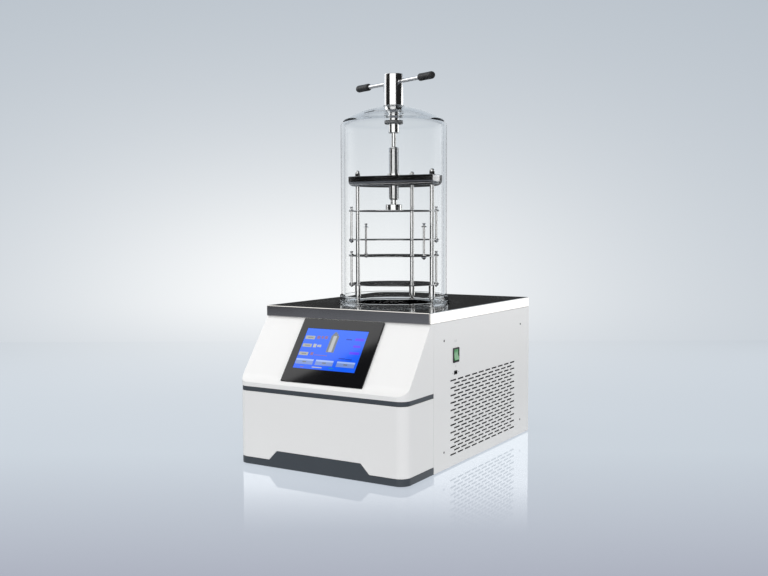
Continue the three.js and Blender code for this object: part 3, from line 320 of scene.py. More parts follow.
class Finish(Enum):
    """Every finish on the machine."""

    WHITE_PAINT = SolidFinish("white_powder_coat", (0.83, 0.83, 0.825), 0.38, grain_scale=700.0, grain_depth=0.05)
    SLATE_PAINT = SolidFinish("slate_trim", (0.05, 0.06, 0.072), 0.42, grain_scale=900.0, grain_depth=0.05)
    PLATE_STEEL = SolidFinish(
        "polished_plate", (0.62, 0.60, 0.57), 0.12, 1.0, stretch=(1.0, 40.0, 1.0), grain_scale=220.0,
        grain_depth=0.02, contrast=0.08,
    )
    BRIGHT_STEEL = SolidFinish(
        "bright_turned_steel", (0.72, 0.72, 0.72), 0.12, 1.0, stretch=(1.0, 1.0, 30.0), grain_scale=300.0,
        grain_depth=0.01, contrast=0.04,
    )
    SHELF_STEEL = SolidFinish(
        "brushed_shelf_steel", (0.40, 0.40, 0.405), 0.14, 1.0, stretch=(1.0, 30.0, 1.0), grain_scale=260.0,
        grain_depth=0.03, contrast=0.08,
    )
    HEAD_STEEL = SolidFinish("dark_head_steel", (0.30, 0.30, 0.305), 0.10, 1.0, grain_scale=300.0, grain_depth=0.01)
    # painted shade: the trap's steel is made nearly black to stand in for the shade deep in the well
    WELL_STEEL = SolidFinish(
        "dark_trap_steel", (0.09, 0.09, 0.092), 0.16, 1.0, stretch=(8.0, 8.0, 0.3), grain_scale=60.0, contrast=2.4,
    )
    ZINC = SolidFinish("zinc_plate", (0.45, 0.46, 0.47), 0.42, 1.0, grain_scale=120.0, contrast=0.2)
    BLACK_GLOSS = SolidFinish(
        "gloss_black_screen_frame", (0.005, 0.005, 0.006), 0.06, grain_depth=0.0, gloss_spread=0.02,
    )
    BLACK_PLASTIC = SolidFinish("matte_black_moulding", (0.014, 0.014, 0.015), 0.45, grain_depth=0.1)
    SCREW_STEEL = SolidFinish("dark_screw_steel", (0.18, 0.18, 0.18), 0.35, 1.0)
    GREY_PLASTIC = SolidFinish("grey_collar_plastic", (0.20, 0.205, 0.21), 0.4, grain_depth=0.06)
    BLACK_RUBBER = SolidFinish("black_grip_rubber", (0.014, 0.014, 0.015), 0.5, grain_scale=600.0, grain_depth=0.15)
    FOAM = SolidFinish("dark_foam", (0.03, 0.03, 0.032), 0.9, grain_scale=300.0, grain_depth=0.4)
    COPPER = SolidFinish("copper_tube", (0.62, 0.27, 0.14), 0.3, 1.0)
    BLACK_ENAMEL = SolidFinish("black_enamel", (0.012, 0.012, 0.013), 0.3, coat=0.4)
    ALUMINIUM_FINS = SolidFinish("aluminium_fins", (0.62, 0.63, 0.64), 0.35, 1.0)
    MARK_GREY = SolidFinish("printed_grey_mark", (0.45, 0.46, 0.46), 0.5)
    ACRYLIC = ClearFinish("bell_acrylic", (0.985, 0.99, 0.99), 0.0, 1.0, ior=1.1)
    SILICONE = ClearFinish("cloudy_silicone", (0.95, 0.96, 0.965), 0.02, 1.0, ior=1.15)
    GLAND_PLASTIC = ClearFinish("clear_gland_plastic", (0.96, 0.965, 0.965), 0.02, 1.0, ior=1.15)
    SCREEN_BLUE = LitFinish("screen_blue", (0.01, 0.12, 0.95), 0.75, far_colour=(0.02, 0.165, 0.95))
    SCREEN_PALE = LitFinish("screen_pale_button", (0.20, 0.30, 0.66), 0.7)
    SCREEN_SHINE = LitFinish("screen_button_shine", (0.36, 0.50, 0.88), 0.75)
    SCREEN_NAVY = LitFinish("screen_navy_mark", (0.006, 0.05, 0.55), 0.7)
    SCREEN_BOX = LitFinish("screen_beige_box", (0.40, 0.41, 0.38), 0.75)
    SCREEN_GREY = LitFinish("screen_grey_shape", (0.20, 0.23, 0.27), 0.6)
    SCREEN_LIGHT = LitFinish("screen_light_grey", (0.55, 0.57, 0.58), 0.6)
    SCREEN_RED = LitFinish("screen_red_mark", (0.26, 0.13, 0.30), 0.7)
    SCREEN_VIOLET = LitFinish("screen_violet_mark", (0.10, 0.05, 0.95), 0.75)
    SCREEN_TEAL = LitFinish("screen_teal_mark", (0.02, 0.30, 0.55), 0.6)
    GREEN_LENS = LitFinish("green_rocker_lens", (0.09, 0.34, 0.13), 0.15, base=0.75, roughness=0.2)

    def material(self) -> bpy.types.Material:
        """Returns the finish's material, built the first time it is asked for."""
        if self.name not in BUILT:
            BUILT[self.name] = self.value.build()
        return BUILT[self.name]


# ------------------------------------------------------------------------------------------------ mesh helpers


def span(node: str) -> tuple[Vector, Vector]:
    """Returns the lowest and highest corner of a CAD node as vectors."""
    low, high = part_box(node)
    return Vector(low), Vector(high)


def middle(node: str) -> Vector:
    """Returns the centre of a CAD node's box."""
    low, high = span(node)
    return (low + high) / 2


def bell_axis() -> Vector:
    """Returns where the bell's upright axis meets the floor."""
    return Vector((*middle("acrylic_bell").xy, 0.0))


def axes_of(nodes: Sequence[str]) -> list[Vector]:
    """Returns where the upright axes of several CAD nodes meet the floor."""
    return [Vector((*middle(node).xy, 0.0)) for node in nodes]


def arc(centre: Point, radius: float, start: float, end: float, steps: int) -> list[Point]:
    """Returns points on a circle of the profile plane.

    Args:
        centre: Its centre, as radius and height.
        radius: Its radius.
        start: First angle, in degrees from the axis.
        end: Last angle.
        steps: Number of steps between them.

    Returns:
        The points, ends included.
    """
    angles = (math.radians(start + (end - start) * i / steps) for i in range(steps + 1))
    return [(centre[0] + radius * math.sin(a), centre[1] + radius * math.cos(a)) for a in angles]


def softened(profile: Sequence[Point], size: float, steps: int = 3) -> list[Point]:
    """Rounds the corners of an open profile, its two ends apart.

    Args:
        profile: The corners.
        size: How far each rounding reaches along the sides.
        steps: Steps in each rounding.

    Returns:
        The rounded profile.
    """
    rounded = [profile[0]]
    for before, corner, after in zip(profile, profile[1:], profile[2:]):
        here = Vector(corner)
        into, out = Vector(before) - here, Vector(after) - here
        reach = min(size, into.length * 0.45, out.length * 0.45)
        if into.length < 1e-9 or out.length < 1e-9 or abs(into.normalized().dot(out.normalized())) > 0.985:
            rounded.append(corner)
            continue
        first, last = here + into.normalized() * reach, here + out.normalized() * reach
        for i in range(steps + 1):
            t = i / steps
            rounded.append(tuple(first * (1 - t) ** 2 + here * (2 * t * (1 - t)) + last * t**2))
    return [*rounded, profile[-1]]


def mesh_object(name: str, mesh: bpy.types.Mesh) -> bpy.types.Object:
    """Links a mesh as a new object at the origin."""
    made = bpy.data.objects.new(name, mesh)
    bpy.context.scene.collection.objects.link(made)
    return made


def from_bmesh(name: str, shape: bmesh.types.BMesh) -> bpy.types.Object:
    """Turns a bmesh into an object."""
    mesh = bpy.data.meshes.new(name)
    shape.to_mesh(mesh)
    shape.free()
    return mesh_object(name, mesh)


def block(name: str, place: Matrix, size: tuple[float, float, float]) -> bpy.types.Object:
    """Builds a plain block of one size about a place."""
    shape = bmesh.new()
    bmesh.ops.create_cube(shape, size=1.0)
    bmesh.ops.transform(shape, matrix=place @ Matrix.Diagonal((*size, 1.0)), verts=shape.verts)
    return from_bmesh(name, shape)


def applied(piece: bpy.types.Object) -> bpy.types.Object:
    """Bakes a piece's modifiers into a plain mesh."""
    seen = piece.evaluated_get(bpy.context.evaluated_depsgraph_get())
    mesh = bpy.data.meshes.new_from_object(seen)
    name = piece.name
    bpy.data.objects.remove(piece)
    made = mesh_object(name, mesh)
    mesh.name = name
    return made


def smoothed(piece: bpy.types.Object, angle: float = 35.0) -> bpy.types.Object:
    """Shades a piece smooth, keeps its sharp edges crisp and its large faces flat.

    Args:
        piece: The piece, which is used up.
        angle: Edges sharper than this, in degrees, stay crisp.

    Returns:
        The shaded piece.
    """
    piece.data.shade_smooth()
    piece.data.set_sharp_from_angle(angle=math.radians(angle))
    flat = piece.modifiers.new("flat_faces", "WEIGHTED_NORMAL")
    flat.weight = 100
    flat.keep_sharp = True
    return applied(piece)


def revolved(
    name: str, profile: Sequence[Point], place: Vector, sides: int = 64, turn: Matrix | None = None,
) -> bpy.types.Object:
    """Revolves a profile about the vertical axis.

    Args:
        name: The object's name.
        profile: Points as radius and height, closed on itself or with both ends on the axis, in metres.
        place: Where the axis foot lies.
        sides: Facets round the axis.
        turn: A turn applied before it is placed.

    Returns:
        The object, with its faces outward.
    """
    shape = bmesh.new()
    rings: list[list[bmesh.types.BMVert]] = []
    for radius, height in profile:
        if radius < 1e-7:
            rings.append([shape.verts.new((0.0, 0.0, height))])
            continue
        ring = []
        for i in range(sides):
            angle = 2 * math.pi * i / sides
            ring.append(shape.verts.new((radius * math.cos(angle), radius * math.sin(angle), height)))
        rings.append(ring)
    pairs = list(zip(rings, rings[1:]))
    if len(rings[0]) > 1:
        pairs.append((rings[-1], rings[0]))
    for first, second in pairs:
        for i in range(sides):
            j = (i + 1) % sides
            corners = [ring[k % len(ring)] for ring, k in ((first, i), (first, j), (second, j), (second, i))]
            unique = list(dict.fromkeys(corners))
            if len(unique) > 2:
                shape.faces.new(unique)
    bmesh.ops.recalc_face_normals(shape, faces=shape.faces)
    matrix = Matrix.Translation(place) @ (turn or Matrix.Identity(4))
    bmesh.ops.transform(shape, matrix=matrix, verts=shape.verts)
    return smoothed(from_bmesh(name, shape))


def skinned(name: str, rings: Sequence[Sequence[Vector]], capped: bool = True) -> bpy.types.Object:
    """Skins closed rings of equal count.

    Args:
        name: The object's name.
        rings: The rings, in order.
        capped: Whether the first and last ring are capped; otherwise they are joined to each other.

    Returns:
        The object, with its faces outward.
    """
    shape = bmesh.new()
    made = [[shape.verts.new(point) for point in ring] for ring in rings]
    count = len(made[0])
    pairs = list(zip(made, made[1:])) + ([] if capped else [(made[-1], made[0])])
    for first, second in pairs:
        for i in range(count):
            j = (i + 1) % count
            shape.faces.new((first[i], first[j], second[j], second[i]))
    if capped:
        shape.faces.new(made[0])
        shape.faces.new(made[-1])
    bmesh.ops.recalc_face_normals(shape, faces=shape.faces)
    return smoothed(from_bmesh(name, shape))


def softened_copy(name: str, node: str, width: float, segments: int = 3, angle: float = 40.0) -> bpy.types.Object:
    """Copies a CAD node, merges its corners and rounds its true edges.

    Args:
        name: The new object's name.
        node: The CAD node.
        width: Width of the rounding, in metres.
        segments: Steps in the rounding.
        angle: Edges flatter than this, in degrees, stay.

    Returns:
        The object, with its modifiers applied.
    """
    shape = bmesh.new()
    shape.from_mesh(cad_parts[node].data)
    bmesh.ops.remove_doubles(shape, verts=shape.verts, dist=2e-6)
    bmesh.ops.dissolve_limit(shape, angle_limit=math.radians(0.6), verts=shape.verts, edges=shape.edges)
    piece = from_bmesh(name, shape)
    bevel = piece.modifiers.new("edge", "BEVEL")
    bevel.width = width
    bevel.segments = segments
    bevel.limit_method = "ANGLE"
    bevel.angle_limit = math.radians(angle)
    bevel.use_clamp_overlap = True
    return smoothed(applied(piece))


def joined(name: str, pieces: Sequence[bpy.types.Object]) -> bpy.types.Object:
    """Joins several mesh objects, each placed in its mesh, into one."""
    shape = bmesh.new()
    for piece in pieces:
        shape.from_mesh(piece.data)
        bpy.data.objects.remove(piece)
    return smoothed(from_bmesh(name, shape))


def finished(
    piece: bpy.types.Object, finish: Finish, body: str, stands_for: Sequence[str] = (),
) -> bpy.types.Object:
    """Gives a piece its material and body, and hides the CAD nodes that it stands for.

    Args:
        piece: The piece.
        finish: Its finish.
        body: The CAD body that it rides on.
        stands_for: CAD nodes that it replaces.

    Returns:
        The piece.
    """
    piece.data.materials.clear()
    piece.data.materials.append(finish.material())
    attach(piece, body)
    if stands_for:
        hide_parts(*stands_for)
    log.info("piece %s rides on %s", piece.name, body)
    return piece


def skin(node: str, edge: float, finish: Finish, body: str) -> None:
    """Stands a copy with rounded edges in for one CAD node.

    Args:
        node: The CAD node.
        edge: Width of the rounding.
        finish: Its finish.
        body: The CAD body that it rides on.
    """
    finished(softened_copy(f"{node}_skin", node, edge), finish, body, [node])


def turned(
    node: str, profile: Sequence[Point], sides: int, finish: Finish, body: str,
    place: Vector | None = None, turn: Matrix | None = None,
) -> None:
    """Stands a revolved profile in for one CAD node.

    Args:
        node: The CAD node.
        profile: Its profile, as radius and height.
        sides: Facets round the axis.
        finish: Its finish.
        body: The CAD body that it rides on.
        place: Where the axis foot lies, on the bell's axis where it isn't given.
        turn: A turn applied before it is placed.
    """
    foot = bell_axis() if place is None else place
    finished(revolved(f"{node}_skin", profile, foot, sides, turn), finish, body, [node])


def repaint(node: str, finish: Finish) -> None:
    """Gives a CAD node that stays a better material."""
    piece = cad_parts[node]
    piece.data.materials.clear()
    piece.data.materials.append(finish.material())


# ------------------------------------------------------------------------------------------------ geometry node helpers


class Recipe(Nodes):
    """Builds one geometry node tree and runs it."""

    def __init__(self, name: str) -> None:
        """Starts an empty tree with a geometry output.

        Args:
            name: The tree's name.
        """
        super().__init__(bpy.data.node_groups.new(name, "GeometryNodeTree"))
        for way in ("INPUT", "OUTPUT"):
            self.tree.interface.new_socket(name="Geometry", in_out=way, socket_type="NodeSocketGeometry")
        self.source = self.tree.nodes.new("NodeGroupInput")
        self.sink = self.tree.nodes.new("NodeGroupOutput")
        self.values: dict[str, object] = {}

    def size(self, name: str, value: object, kind: str = "NodeSocketFloat") -> bpy.types.NodeSocket:
        """Adds a named input with its value and returns its socket inside the tree."""
        socket = self.tree.interface.new_socket(name=name, in_out="INPUT", socket_type=kind)
        self.values[socket.identifier] = value
        return next(output for output in self.source.outputs if output.identifier == socket.identifier)

    def transformed(
        self, shape: bpy.types.NodeSocket, shift: object = (0.0, 0.0, 0.0), turn: object = (0.0, 0.0, 0.0),
    ) -> bpy.types.NodeSocket:
        """Adds a Transform Geometry node and returns its geometry."""
        inputs = {"Geometry": shape, "Translation": shift, "Rotation": turn}
        return self.add("GeometryNodeTransform", inputs).outputs[0]

    def rectangle(self, width: object, height: object) -> bpy.types.NodeSocket:
        """Adds a rectangular curve and returns it."""
        inputs = {"Width": width, "Height": height}
        return self.add("GeometryNodeCurvePrimitiveQuadrilateral", inputs).outputs[0]

    def run(
        self, name: str, result: bpy.types.NodeSocket, material: bpy.types.Material,
        start: bpy.types.Mesh | None = None,
    ) -> bpy.types.Object:
        """Ends the tree, runs it on a mesh and returns the plain result.

        Args:
            name: The piece's name.
            result: The geometry to put out.
            material: The material that the tree sets.
            start: The mesh that it starts from.

        Returns:
            The piece.
        """
        colour = self.size("Material", material, "NodeSocketMaterial")
        real = self.add("GeometryNodeRealizeInstances", {0: result})
        painted = self.add("GeometryNodeSetMaterial", {"Geometry": real.outputs[0], "Material": colour})
        self.link(painted.outputs[0], self.sink.inputs[0])
        holder = mesh_object(name, start or bpy.data.meshes.new(name))
        modifier = holder.modifiers.new("recipe", "NODES")
        modifier.node_group = self.tree
        for identifier, value in self.values.items():
            modifier[identifier] = value
        return smoothed(applied(holder))


def repeated(
    name: str, unit: bpy.types.Object, spots: Sequence[Vector], finish: Finish, body: str,
    stands_for: Sequence[str] = (),
) -> None:
    """Sets copies of one unit on several spots with geometry nodes.

    Args:
        name: The piece's name.
        unit: The unit, modelled about the origin; it is used up.
        spots: Where the copies go.
        finish: The finish that the tree sets.
        body: The CAD body that the piece rides on.
        stands_for: CAD nodes that the piece replaces.
    """
    shape = bmesh.new()
    for spot in spots:
        shape.verts.new(spot)
    start = bpy.data.meshes.new(name)
    shape.to_mesh(start)
    shape.free()
    recipe = Recipe(f"{name}_recipe")
    template = recipe.size("Unit", unit, "NodeSocketObject")
    info = recipe.add("GeometryNodeObjectInfo", {"Object": template})
    copies = recipe.add(
        "GeometryNodeInstanceOnPoints",
        {"Points": recipe.source.outputs[0], "Instance": info.outputs["Geometry"]},
    )
    piece = recipe.run(name, copies.outputs[0], finish.material(), start)
    bpy.data.objects.remove(unit)
    finished(piece, finish, body, stands_for)


# ------------------------------------------------------------------------------------------------ sub-assemblies


@dataclass
class Cabinet:
    """The sheet-metal housing: shells, trim, panels, plate, pan and feet."""

    shell_edge: float = 1.1 * MM
    trim_edge: float = 0.7 * MM
    plate_edge: float = 1.0 * MM
    foot_edge: float = 1.5 * MM
    foot_taper: float = 3.0 * MM

    def build(self) -> None:
        """Builds every piece of the housing."""
        for node in ("front_upper_shell", "front_lower_shell"):
            skin(node, self.shell_edge, Finish.WHITE_PAINT, "machine")
        for node in ("trim_stripe", "base_trim"):
            skin(node, self.trim_edge, Finish.SLATE_PAINT, "machine")
        skin("top_plate", self.plate_edge, Finish.PLATE_STEEL, "machine")
        for node in ("left_side_panel", "rear_panel"):
            repaint(node, Finish.WHITE_PAINT)
        repaint("base_pan", Finish.ZINC)
        self.feet()

    def feet(self) -> None:
        """Builds the four rubber feet."""
        names = [f"foot_{end}_{side}" for end in ("front", "rear") for side in ("left", "right")]
        low, high = span(names[0])
        radius, height = (high.y - low.y) / 2, high.z
        profile = softened([
            (0, 0), (radius - self.foot_edge, 0), (radius, self.foot_edge),
            (radius - self.foot_taper, height), (0, height),
        ], 1 * MM)
        unit = revolved("foot_unit", profile, Vector(), 40)
        repeated("rubber_feet", unit, axes_of(names), Finish.BLACK_RUBBER, "machine", names)


@dataclass
class SideGrille:
    """The right side panel with its staggered field of round-ended slots."""

    slot_length: float = 30 * MM
    slot_width: float = 3.8 * MM
    slot_pitch: float = 37.5 * MM
    row_pitch: float = 8.6 * MM
    rows: int = 21
    per_row: int = 10
    centre_behind_axis: float = 54.7 * MM
    centre_height: float = 115.3 * MM
    sheet: float = 1.2 * MM
    # size and place of the dark sheet behind the slots, which is painted shade
    shade_sheet_thickness: float = 3 * MM
    shade_sheet_margin: float = 5 * MM
    shade_sheet_gap: float = 2 * MM
    switch_window: tuple[float, float] = (27 * MM, 32 * MM)
    port_window: tuple[float, float] = (16.6 * MM, 9.2 * MM)

    def build(self) -> None:
        """Builds the flat perforated panel with its slots and windows, and the dark sheet behind it."""
        low, high = span("right_side_panel")
        axis_y = bell_axis().y
        size_y, size_z = high.y - low.y, high.z - low.z
        recipe = Recipe("slotted_panel_recipe")
        slot_length = recipe.size("Slot length", self.slot_length)
        slot_width = recipe.size("Slot width", self.slot_width)
        slot_pitch = recipe.size("Slot pitch", self.slot_pitch)
        row_pitch = recipe.size("Row pitch", self.row_pitch)
        rows = recipe.size("Rows", self.rows, "NodeSocketInt")
        per_row = recipe.size("Slots per row", self.per_row, "NodeSocketInt")
        centre = recipe.size(
            "Field centre",
            (self.centre_behind_axis + axis_y - low.y - size_y / 2, self.centre_height - low.z - size_z / 2, 0.0),
            "NodeSocketVector",
        )
        thickness = recipe.size("Sheet", self.sheet)
        points = recipe.add("GeometryNodePoints", {"Count": recipe.math("MULTIPLY", rows, per_row)})
        index = recipe.add("GeometryNodeInputIndex").outputs[0]
        row = recipe.math("FLOOR", recipe.math("DIVIDE", recipe.math("ADD", index, 0.5), per_row))
        column = recipe.math("SUBTRACT", index, recipe.math("MULTIPLY", row, per_row))
        odd = recipe.math("MODULO", row, 2.0)
        half_row = recipe.math("MULTIPLY", recipe.math("SUBTRACT", per_row, 1.0), 0.5)
        half_rows = recipe.math("MULTIPLY", recipe.math("SUBTRACT", rows, 1.0), 0.5)
        shifted = recipe.math("ADD", recipe.math("SUBTRACT", column, half_row), recipe.math("MULTIPLY", odd, 0.5))
        along = recipe.math("MULTIPLY", shifted, slot_pitch)
        up = recipe.math("MULTIPLY", recipe.math("SUBTRACT", row, half_rows), row_pitch)
        spot = recipe.add("ShaderNodeCombineXYZ", {0: along, 1: up})
        placed = recipe.add(
            "GeometryNodeSetPosition", {"Geometry": points.outputs[0], "Position": spot.outputs[0], "Offset": centre},
        )
        over = recipe.math("COMPARE", column, recipe.math("SUBTRACT", per_row, 1.0))
        gone = recipe.math("MULTIPLY", odd, over)
        kept = recipe.add(
            "GeometryNodeDeleteGeometry", {"Geometry": placed.outputs[0], "Selection": gone}, domain="POINT",
        )
        end_radius = recipe.math("MULTIPLY", slot_width, 0.49)
        slot = recipe.rectangle(slot_length, slot_width)
        rounded = recipe.add(
            "GeometryNodeFilletCurve", {"Curve": slot, "Radius": end_radius, "Limit Radius": True, "Count": 5},
            mode="POLY",
        )
        slots = recipe.add(
            "GeometryNodeInstanceOnPoints", {"Points": kept.outputs[0], "Instance": rounded.outputs[0]},
        )
        edge = recipe.rectangle(size_y, size_z)
        windows = [
            self.window(recipe, node, size, low + (high - low) / 2)
            for node, size in (("switch_bezel", self.switch_window), ("data_port", self.port_window))
        ]
        real = recipe.add("GeometryNodeRealizeInstances", {0: slots.outputs[0]})
        curves = recipe.add("GeometryNodeJoinGeometry", {0: [real.outputs[0], edge, *windows]})
        face = recipe.add("GeometryNodeFillCurve", {"Curve": curves.outputs[0]})
        thick = recipe.add(
            "GeometryNodeExtrudeMesh", {"Mesh": face.outputs[0], "Offset Scale": thickness, "Individual": False},
        )
        back = recipe.add("GeometryNodeFlipFaces", {"Mesh": face.outputs[0]})
        whole = recipe.add("GeometryNodeJoinGeometry", {0: [thick.outputs[0], back.outputs[0]]})
        welded = recipe.add("GeometryNodeMergeByDistance", {"Geometry": whole.outputs[0], "Distance": 1e-6})
        inner_face = high.x - self.sheet
        upright = recipe.transformed(
            welded.outputs[0], (inner_face, low.y + size_y / 2, low.z + size_z / 2), (math.pi / 2, 0.0, math.pi / 2),
        )
        panel = recipe.run("right_side_panel_skin", upright, Finish.WHITE_PAINT.material())
        finished(panel, Finish.WHITE_PAINT, "machine", ["right_side_panel"])
        self.shade_sheet(inner_face, axis_y + self.centre_behind_axis)

    def shade_sheet(self, inner_face: float, centre_y: float) -> None:
        """Builds a dark foam sheet behind the slots: painted shade that darkens what shows through them.

        Args:
            inner_face: Where the panel's inner face lies.
            centre_y: The middle of the slots' field.
        """
        size_y = self.per_row * self.slot_pitch + 2 * self.shade_sheet_margin
        size_z = self.rows * self.row_pitch + 2 * self.shade_sheet_margin
        depth = inner_face - self.shade_sheet_gap - self.shade_sheet_thickness / 2
        place = Matrix.Translation((depth, centre_y, self.centre_height))
        # painted shade: a dark sheet in the cabinet behind the slots, where there is only shade
        mat = block("grille_dust_filter", place, (self.shade_sheet_thickness, size_y, size_z))
        finished(mat, Finish.FOAM, "machine")

    @staticmethod
    def window(
        recipe: Recipe, node: str, size: tuple[float, float], panel_centre: Vector,
    ) -> bpy.types.NodeSocket:
        """Adds a window's outline round a fitting that goes through the panel."""
        shift = middle(node) - panel_centre
        return recipe.transformed(recipe.rectangle(*size), (shift.y, shift.z, 0.0))


@dataclass
class PanelScrews:
    """Cross-recess screws on the side panels and the data port."""

    head_radius: float = 2.6 * MM
    head_height: float = 0.9 * MM
    port_head_radius: float = 1.1 * MM
    port_spacing: float = 30 * MM
    places_behind_axis: tuple[float, float] = (-161 * MM, 275 * MM)
    heights: tuple[float, float] = (42.3 * MM, 296.6 * MM)
    recess_turn: float = 0.4

    def build(self) -> None:
        """Builds the screws of both side panels and of the data port."""
        right, left = span("right_side_panel")[1].x, span("left_side_panel")[0].x
        axis_y = bell_axis().y
        spots = [(axis_y + y, z) for y in self.places_behind_axis for z in self.heights]
        self.row("right_panel_screws", [Vector((right, y, z)) for y, z in spots], self.head_radius, 1.0)
        self.row("left_panel_screws", [Vector((left, y, z)) for y, z in spots], self.head_radius, -1.0)
        port = middle("data_port")
        ends = [Vector((right, port.y + side * self.port_spacing / 2, port.z)) for side in (-1, 1)]
        self.row("data_port_screws", ends, self.port_head_radius, 1.0)

    def row(self, name: str, spots: Sequence[Vector], radius: float, side: float) -> None:
        """Sets one screw on each spot, its head facing out along X."""
        height = self.head_height * radius / self.head_radius
        profile = softened(
            [(0, 0), (radius, 0), (radius, height * 0.45), (radius * 0.7, height), (0, height)], radius * 0.2,
        )
        turn = Matrix.Rotation(side * math.pi / 2, 4, "Y")
        head = revolved(f"{name}_unit", profile, Vector(), 24, turn)
        top = Matrix.Translation((side * height, 0, 0))
        bar = (0.12 * height, radius * 1.15, radius * 0.26)
        bars = [
            block(f"{name}_slot", top @ Matrix.Rotation(angle, 4, "X"), bar)
            for angle in (self.recess_turn, self.recess_turn + math.pi / 2)
        ]
        repeated(name, head, spots, Finish.SCREW_STEEL, "machine")
        recess = joined(f"{name}_slots", bars)
        repeated(f"{name}_recess", recess, spots, Finish.BLACK_PLASTIC, "machine")


@dataclass
class TouchScreen:
    """The screen's gloss frame, glass and the simple coloured fields that it shows."""

    frame_edge: float = 0.5 * MM
    glass_edge: float = 0.2 * MM
    lift: float = 0.12 * MM

    def build(self) -> None:
        """Builds the frame, glass and fields."""
        skin("screen_bezel", self.frame_edge, Finish.BLACK_GLOSS, "machine")
        skin("display_panel", self.glass_edge, Finish.SCREEN_BLUE, "machine")
        self.fields()

    def fields(self) -> None:
        """Builds the fields on the glass, placed by shares of its width and height."""
        boxes = [(0.097, 0.768, 0.155, 0.085), (0.095, 0.569, 0.15, 0.08), (0.087, 0.361, 0.15, 0.08)]
        box_text = [(u + 0.005, v, width * 0.55, 0.02) for u, v, width, _ in boxes]
        buttons = [(u, 0.170, 0.285, 0.13) for u in (0.150, 0.477, 0.821)]
        button_tops = [(u, v + 0.045, width, 0.04) for u, v, width, _ in buttons]
        button_text = [(u, v - 0.005, 0.06, 0.03) for u, v, _, _ in buttons]
        red = [(0.234, 0.783, 0.05, 0.07), (0.298, 0.79, 0.035, 0.06), (0.36, 0.79, 0.045, 0.07)]
        red += [(0.224, 0.371, 0.045, 0.07), (0.375, 0.348, 0.21, 0.012), (0.14, 0.04, 0.05, 0.02)]
        light = [(0.221, 0.574, 0.05, 0.085), (0.278, 0.574, 0.03, 0.05), (0.312, 0.574, 0.03, 0.06)]
        light += [(0.386, 0.05, 0.16, 0.022)]
        violet = [(0.902, 0.79, 0.14, 0.065), (0.896, 0.622, 0.115, 0.055), (0.894, 0.457, 0.155, 0.06)]
        navy = [(0.73, 0.306, 0.10, 0.024), (0.84, 0.296, 0.10, 0.024), (0.735, 0.779, 0.09, 0.03)]
        teal = [(0.613, 0.055, 0.07, 0.022)]
        self.tiles("screen_boxes", boxes, Finish.SCREEN_BOX)
        self.tiles("screen_buttons", buttons, Finish.SCREEN_PALE)
        self.tiles("screen_button_tops", button_tops, Finish.SCREEN_SHINE, 2.0)
        self.tiles("screen_text", box_text + button_text, Finish.SCREEN_GREY, 2.0)
        self.tiles("screen_red_marks", red, Finish.SCREEN_RED)
        self.tiles("screen_light_marks", light, Finish.SCREEN_LIGHT)
        self.tiles("screen_violet_marks", violet, Finish.SCREEN_VIOLET)
        self.tiles("screen_teal_marks", teal, Finish.SCREEN_TEAL)
        self.tiles("screen_navy_marks", navy, Finish.SCREEN_NAVY)
        vessel = [(0.498, 0.645, 0.125, 0.42), (0.495, 0.875, 0.085, 0.05), (0.49, 0.915, 0.04, 0.04)]
        self.tiles("screen_vessel", vessel, Finish.SCREEN_GREY)
        self.tiles("screen_vessel_shine", [(0.498, 0.645, 0.055, 0.40)], Finish.SCREEN_LIGHT, 2.0)

    def tiles(
        self, name: str, places: Sequence[tuple[float, float, float, float]], finish: Finish, layer: float = 1.0,
    ) -> None:
        """Builds thin rectangular fields.

        Args:
            name: The piece's name.
            places: Centre and size of each as shares of the glass's width and height.
            finish: Their finish.
            layer: How many lifts they stand above the glass.
        """
        origin, across, up, out = self.glass_axes()
        shape = bmesh.new()
        for u, v, width, height in places:
            centre = origin + across * u + up * v + out.normalized() * (self.lift * layer / 2)
            half_u, half_v = across * (width / 2), up * (height / 2)
            half_w = out.normalized() * (self.lift * layer / 2)
            corners = [
                shape.verts.new(centre + half_u * a + half_v * b + half_w * c)
                for c in (-1, 1) for a, b in ((-1, -1), (1, -1), (1, 1), (-1, 1))
            ]
            for face in ((0, 1, 2, 3), (4, 5, 6, 7), (0, 1, 5, 4), (1, 2, 6, 5), (2, 3, 7, 6), (3, 0, 4, 7)):
                shape.faces.new([corners[i] for i in face])
        bmesh.ops.recalc_face_normals(shape, faces=shape.faces)
        finished(from_bmesh(name, shape), finish, "machine")

    @staticmethod
    def glass_axes() -> tuple[Vector, Vector, Vector, Vector]:
        """Returns the glass face's lower left corner, its two sides and its outward normal."""
        points = [Vector(v.co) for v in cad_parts["display_panel"].data.vertices]
        left, right = min(p.x for p in points), max(p.x for p in points)
        foot, top = min(points, key=lambda p: p.y), max(points, key=lambda p: p.z)
        across, slope = Vector((right - left, 0.0, 0.0)), Vector((0.0, top.y - foot.y, top.z - foot.z))
        return Vector((left, foot.y, foot.z)), across, slope, across.cross(slope)


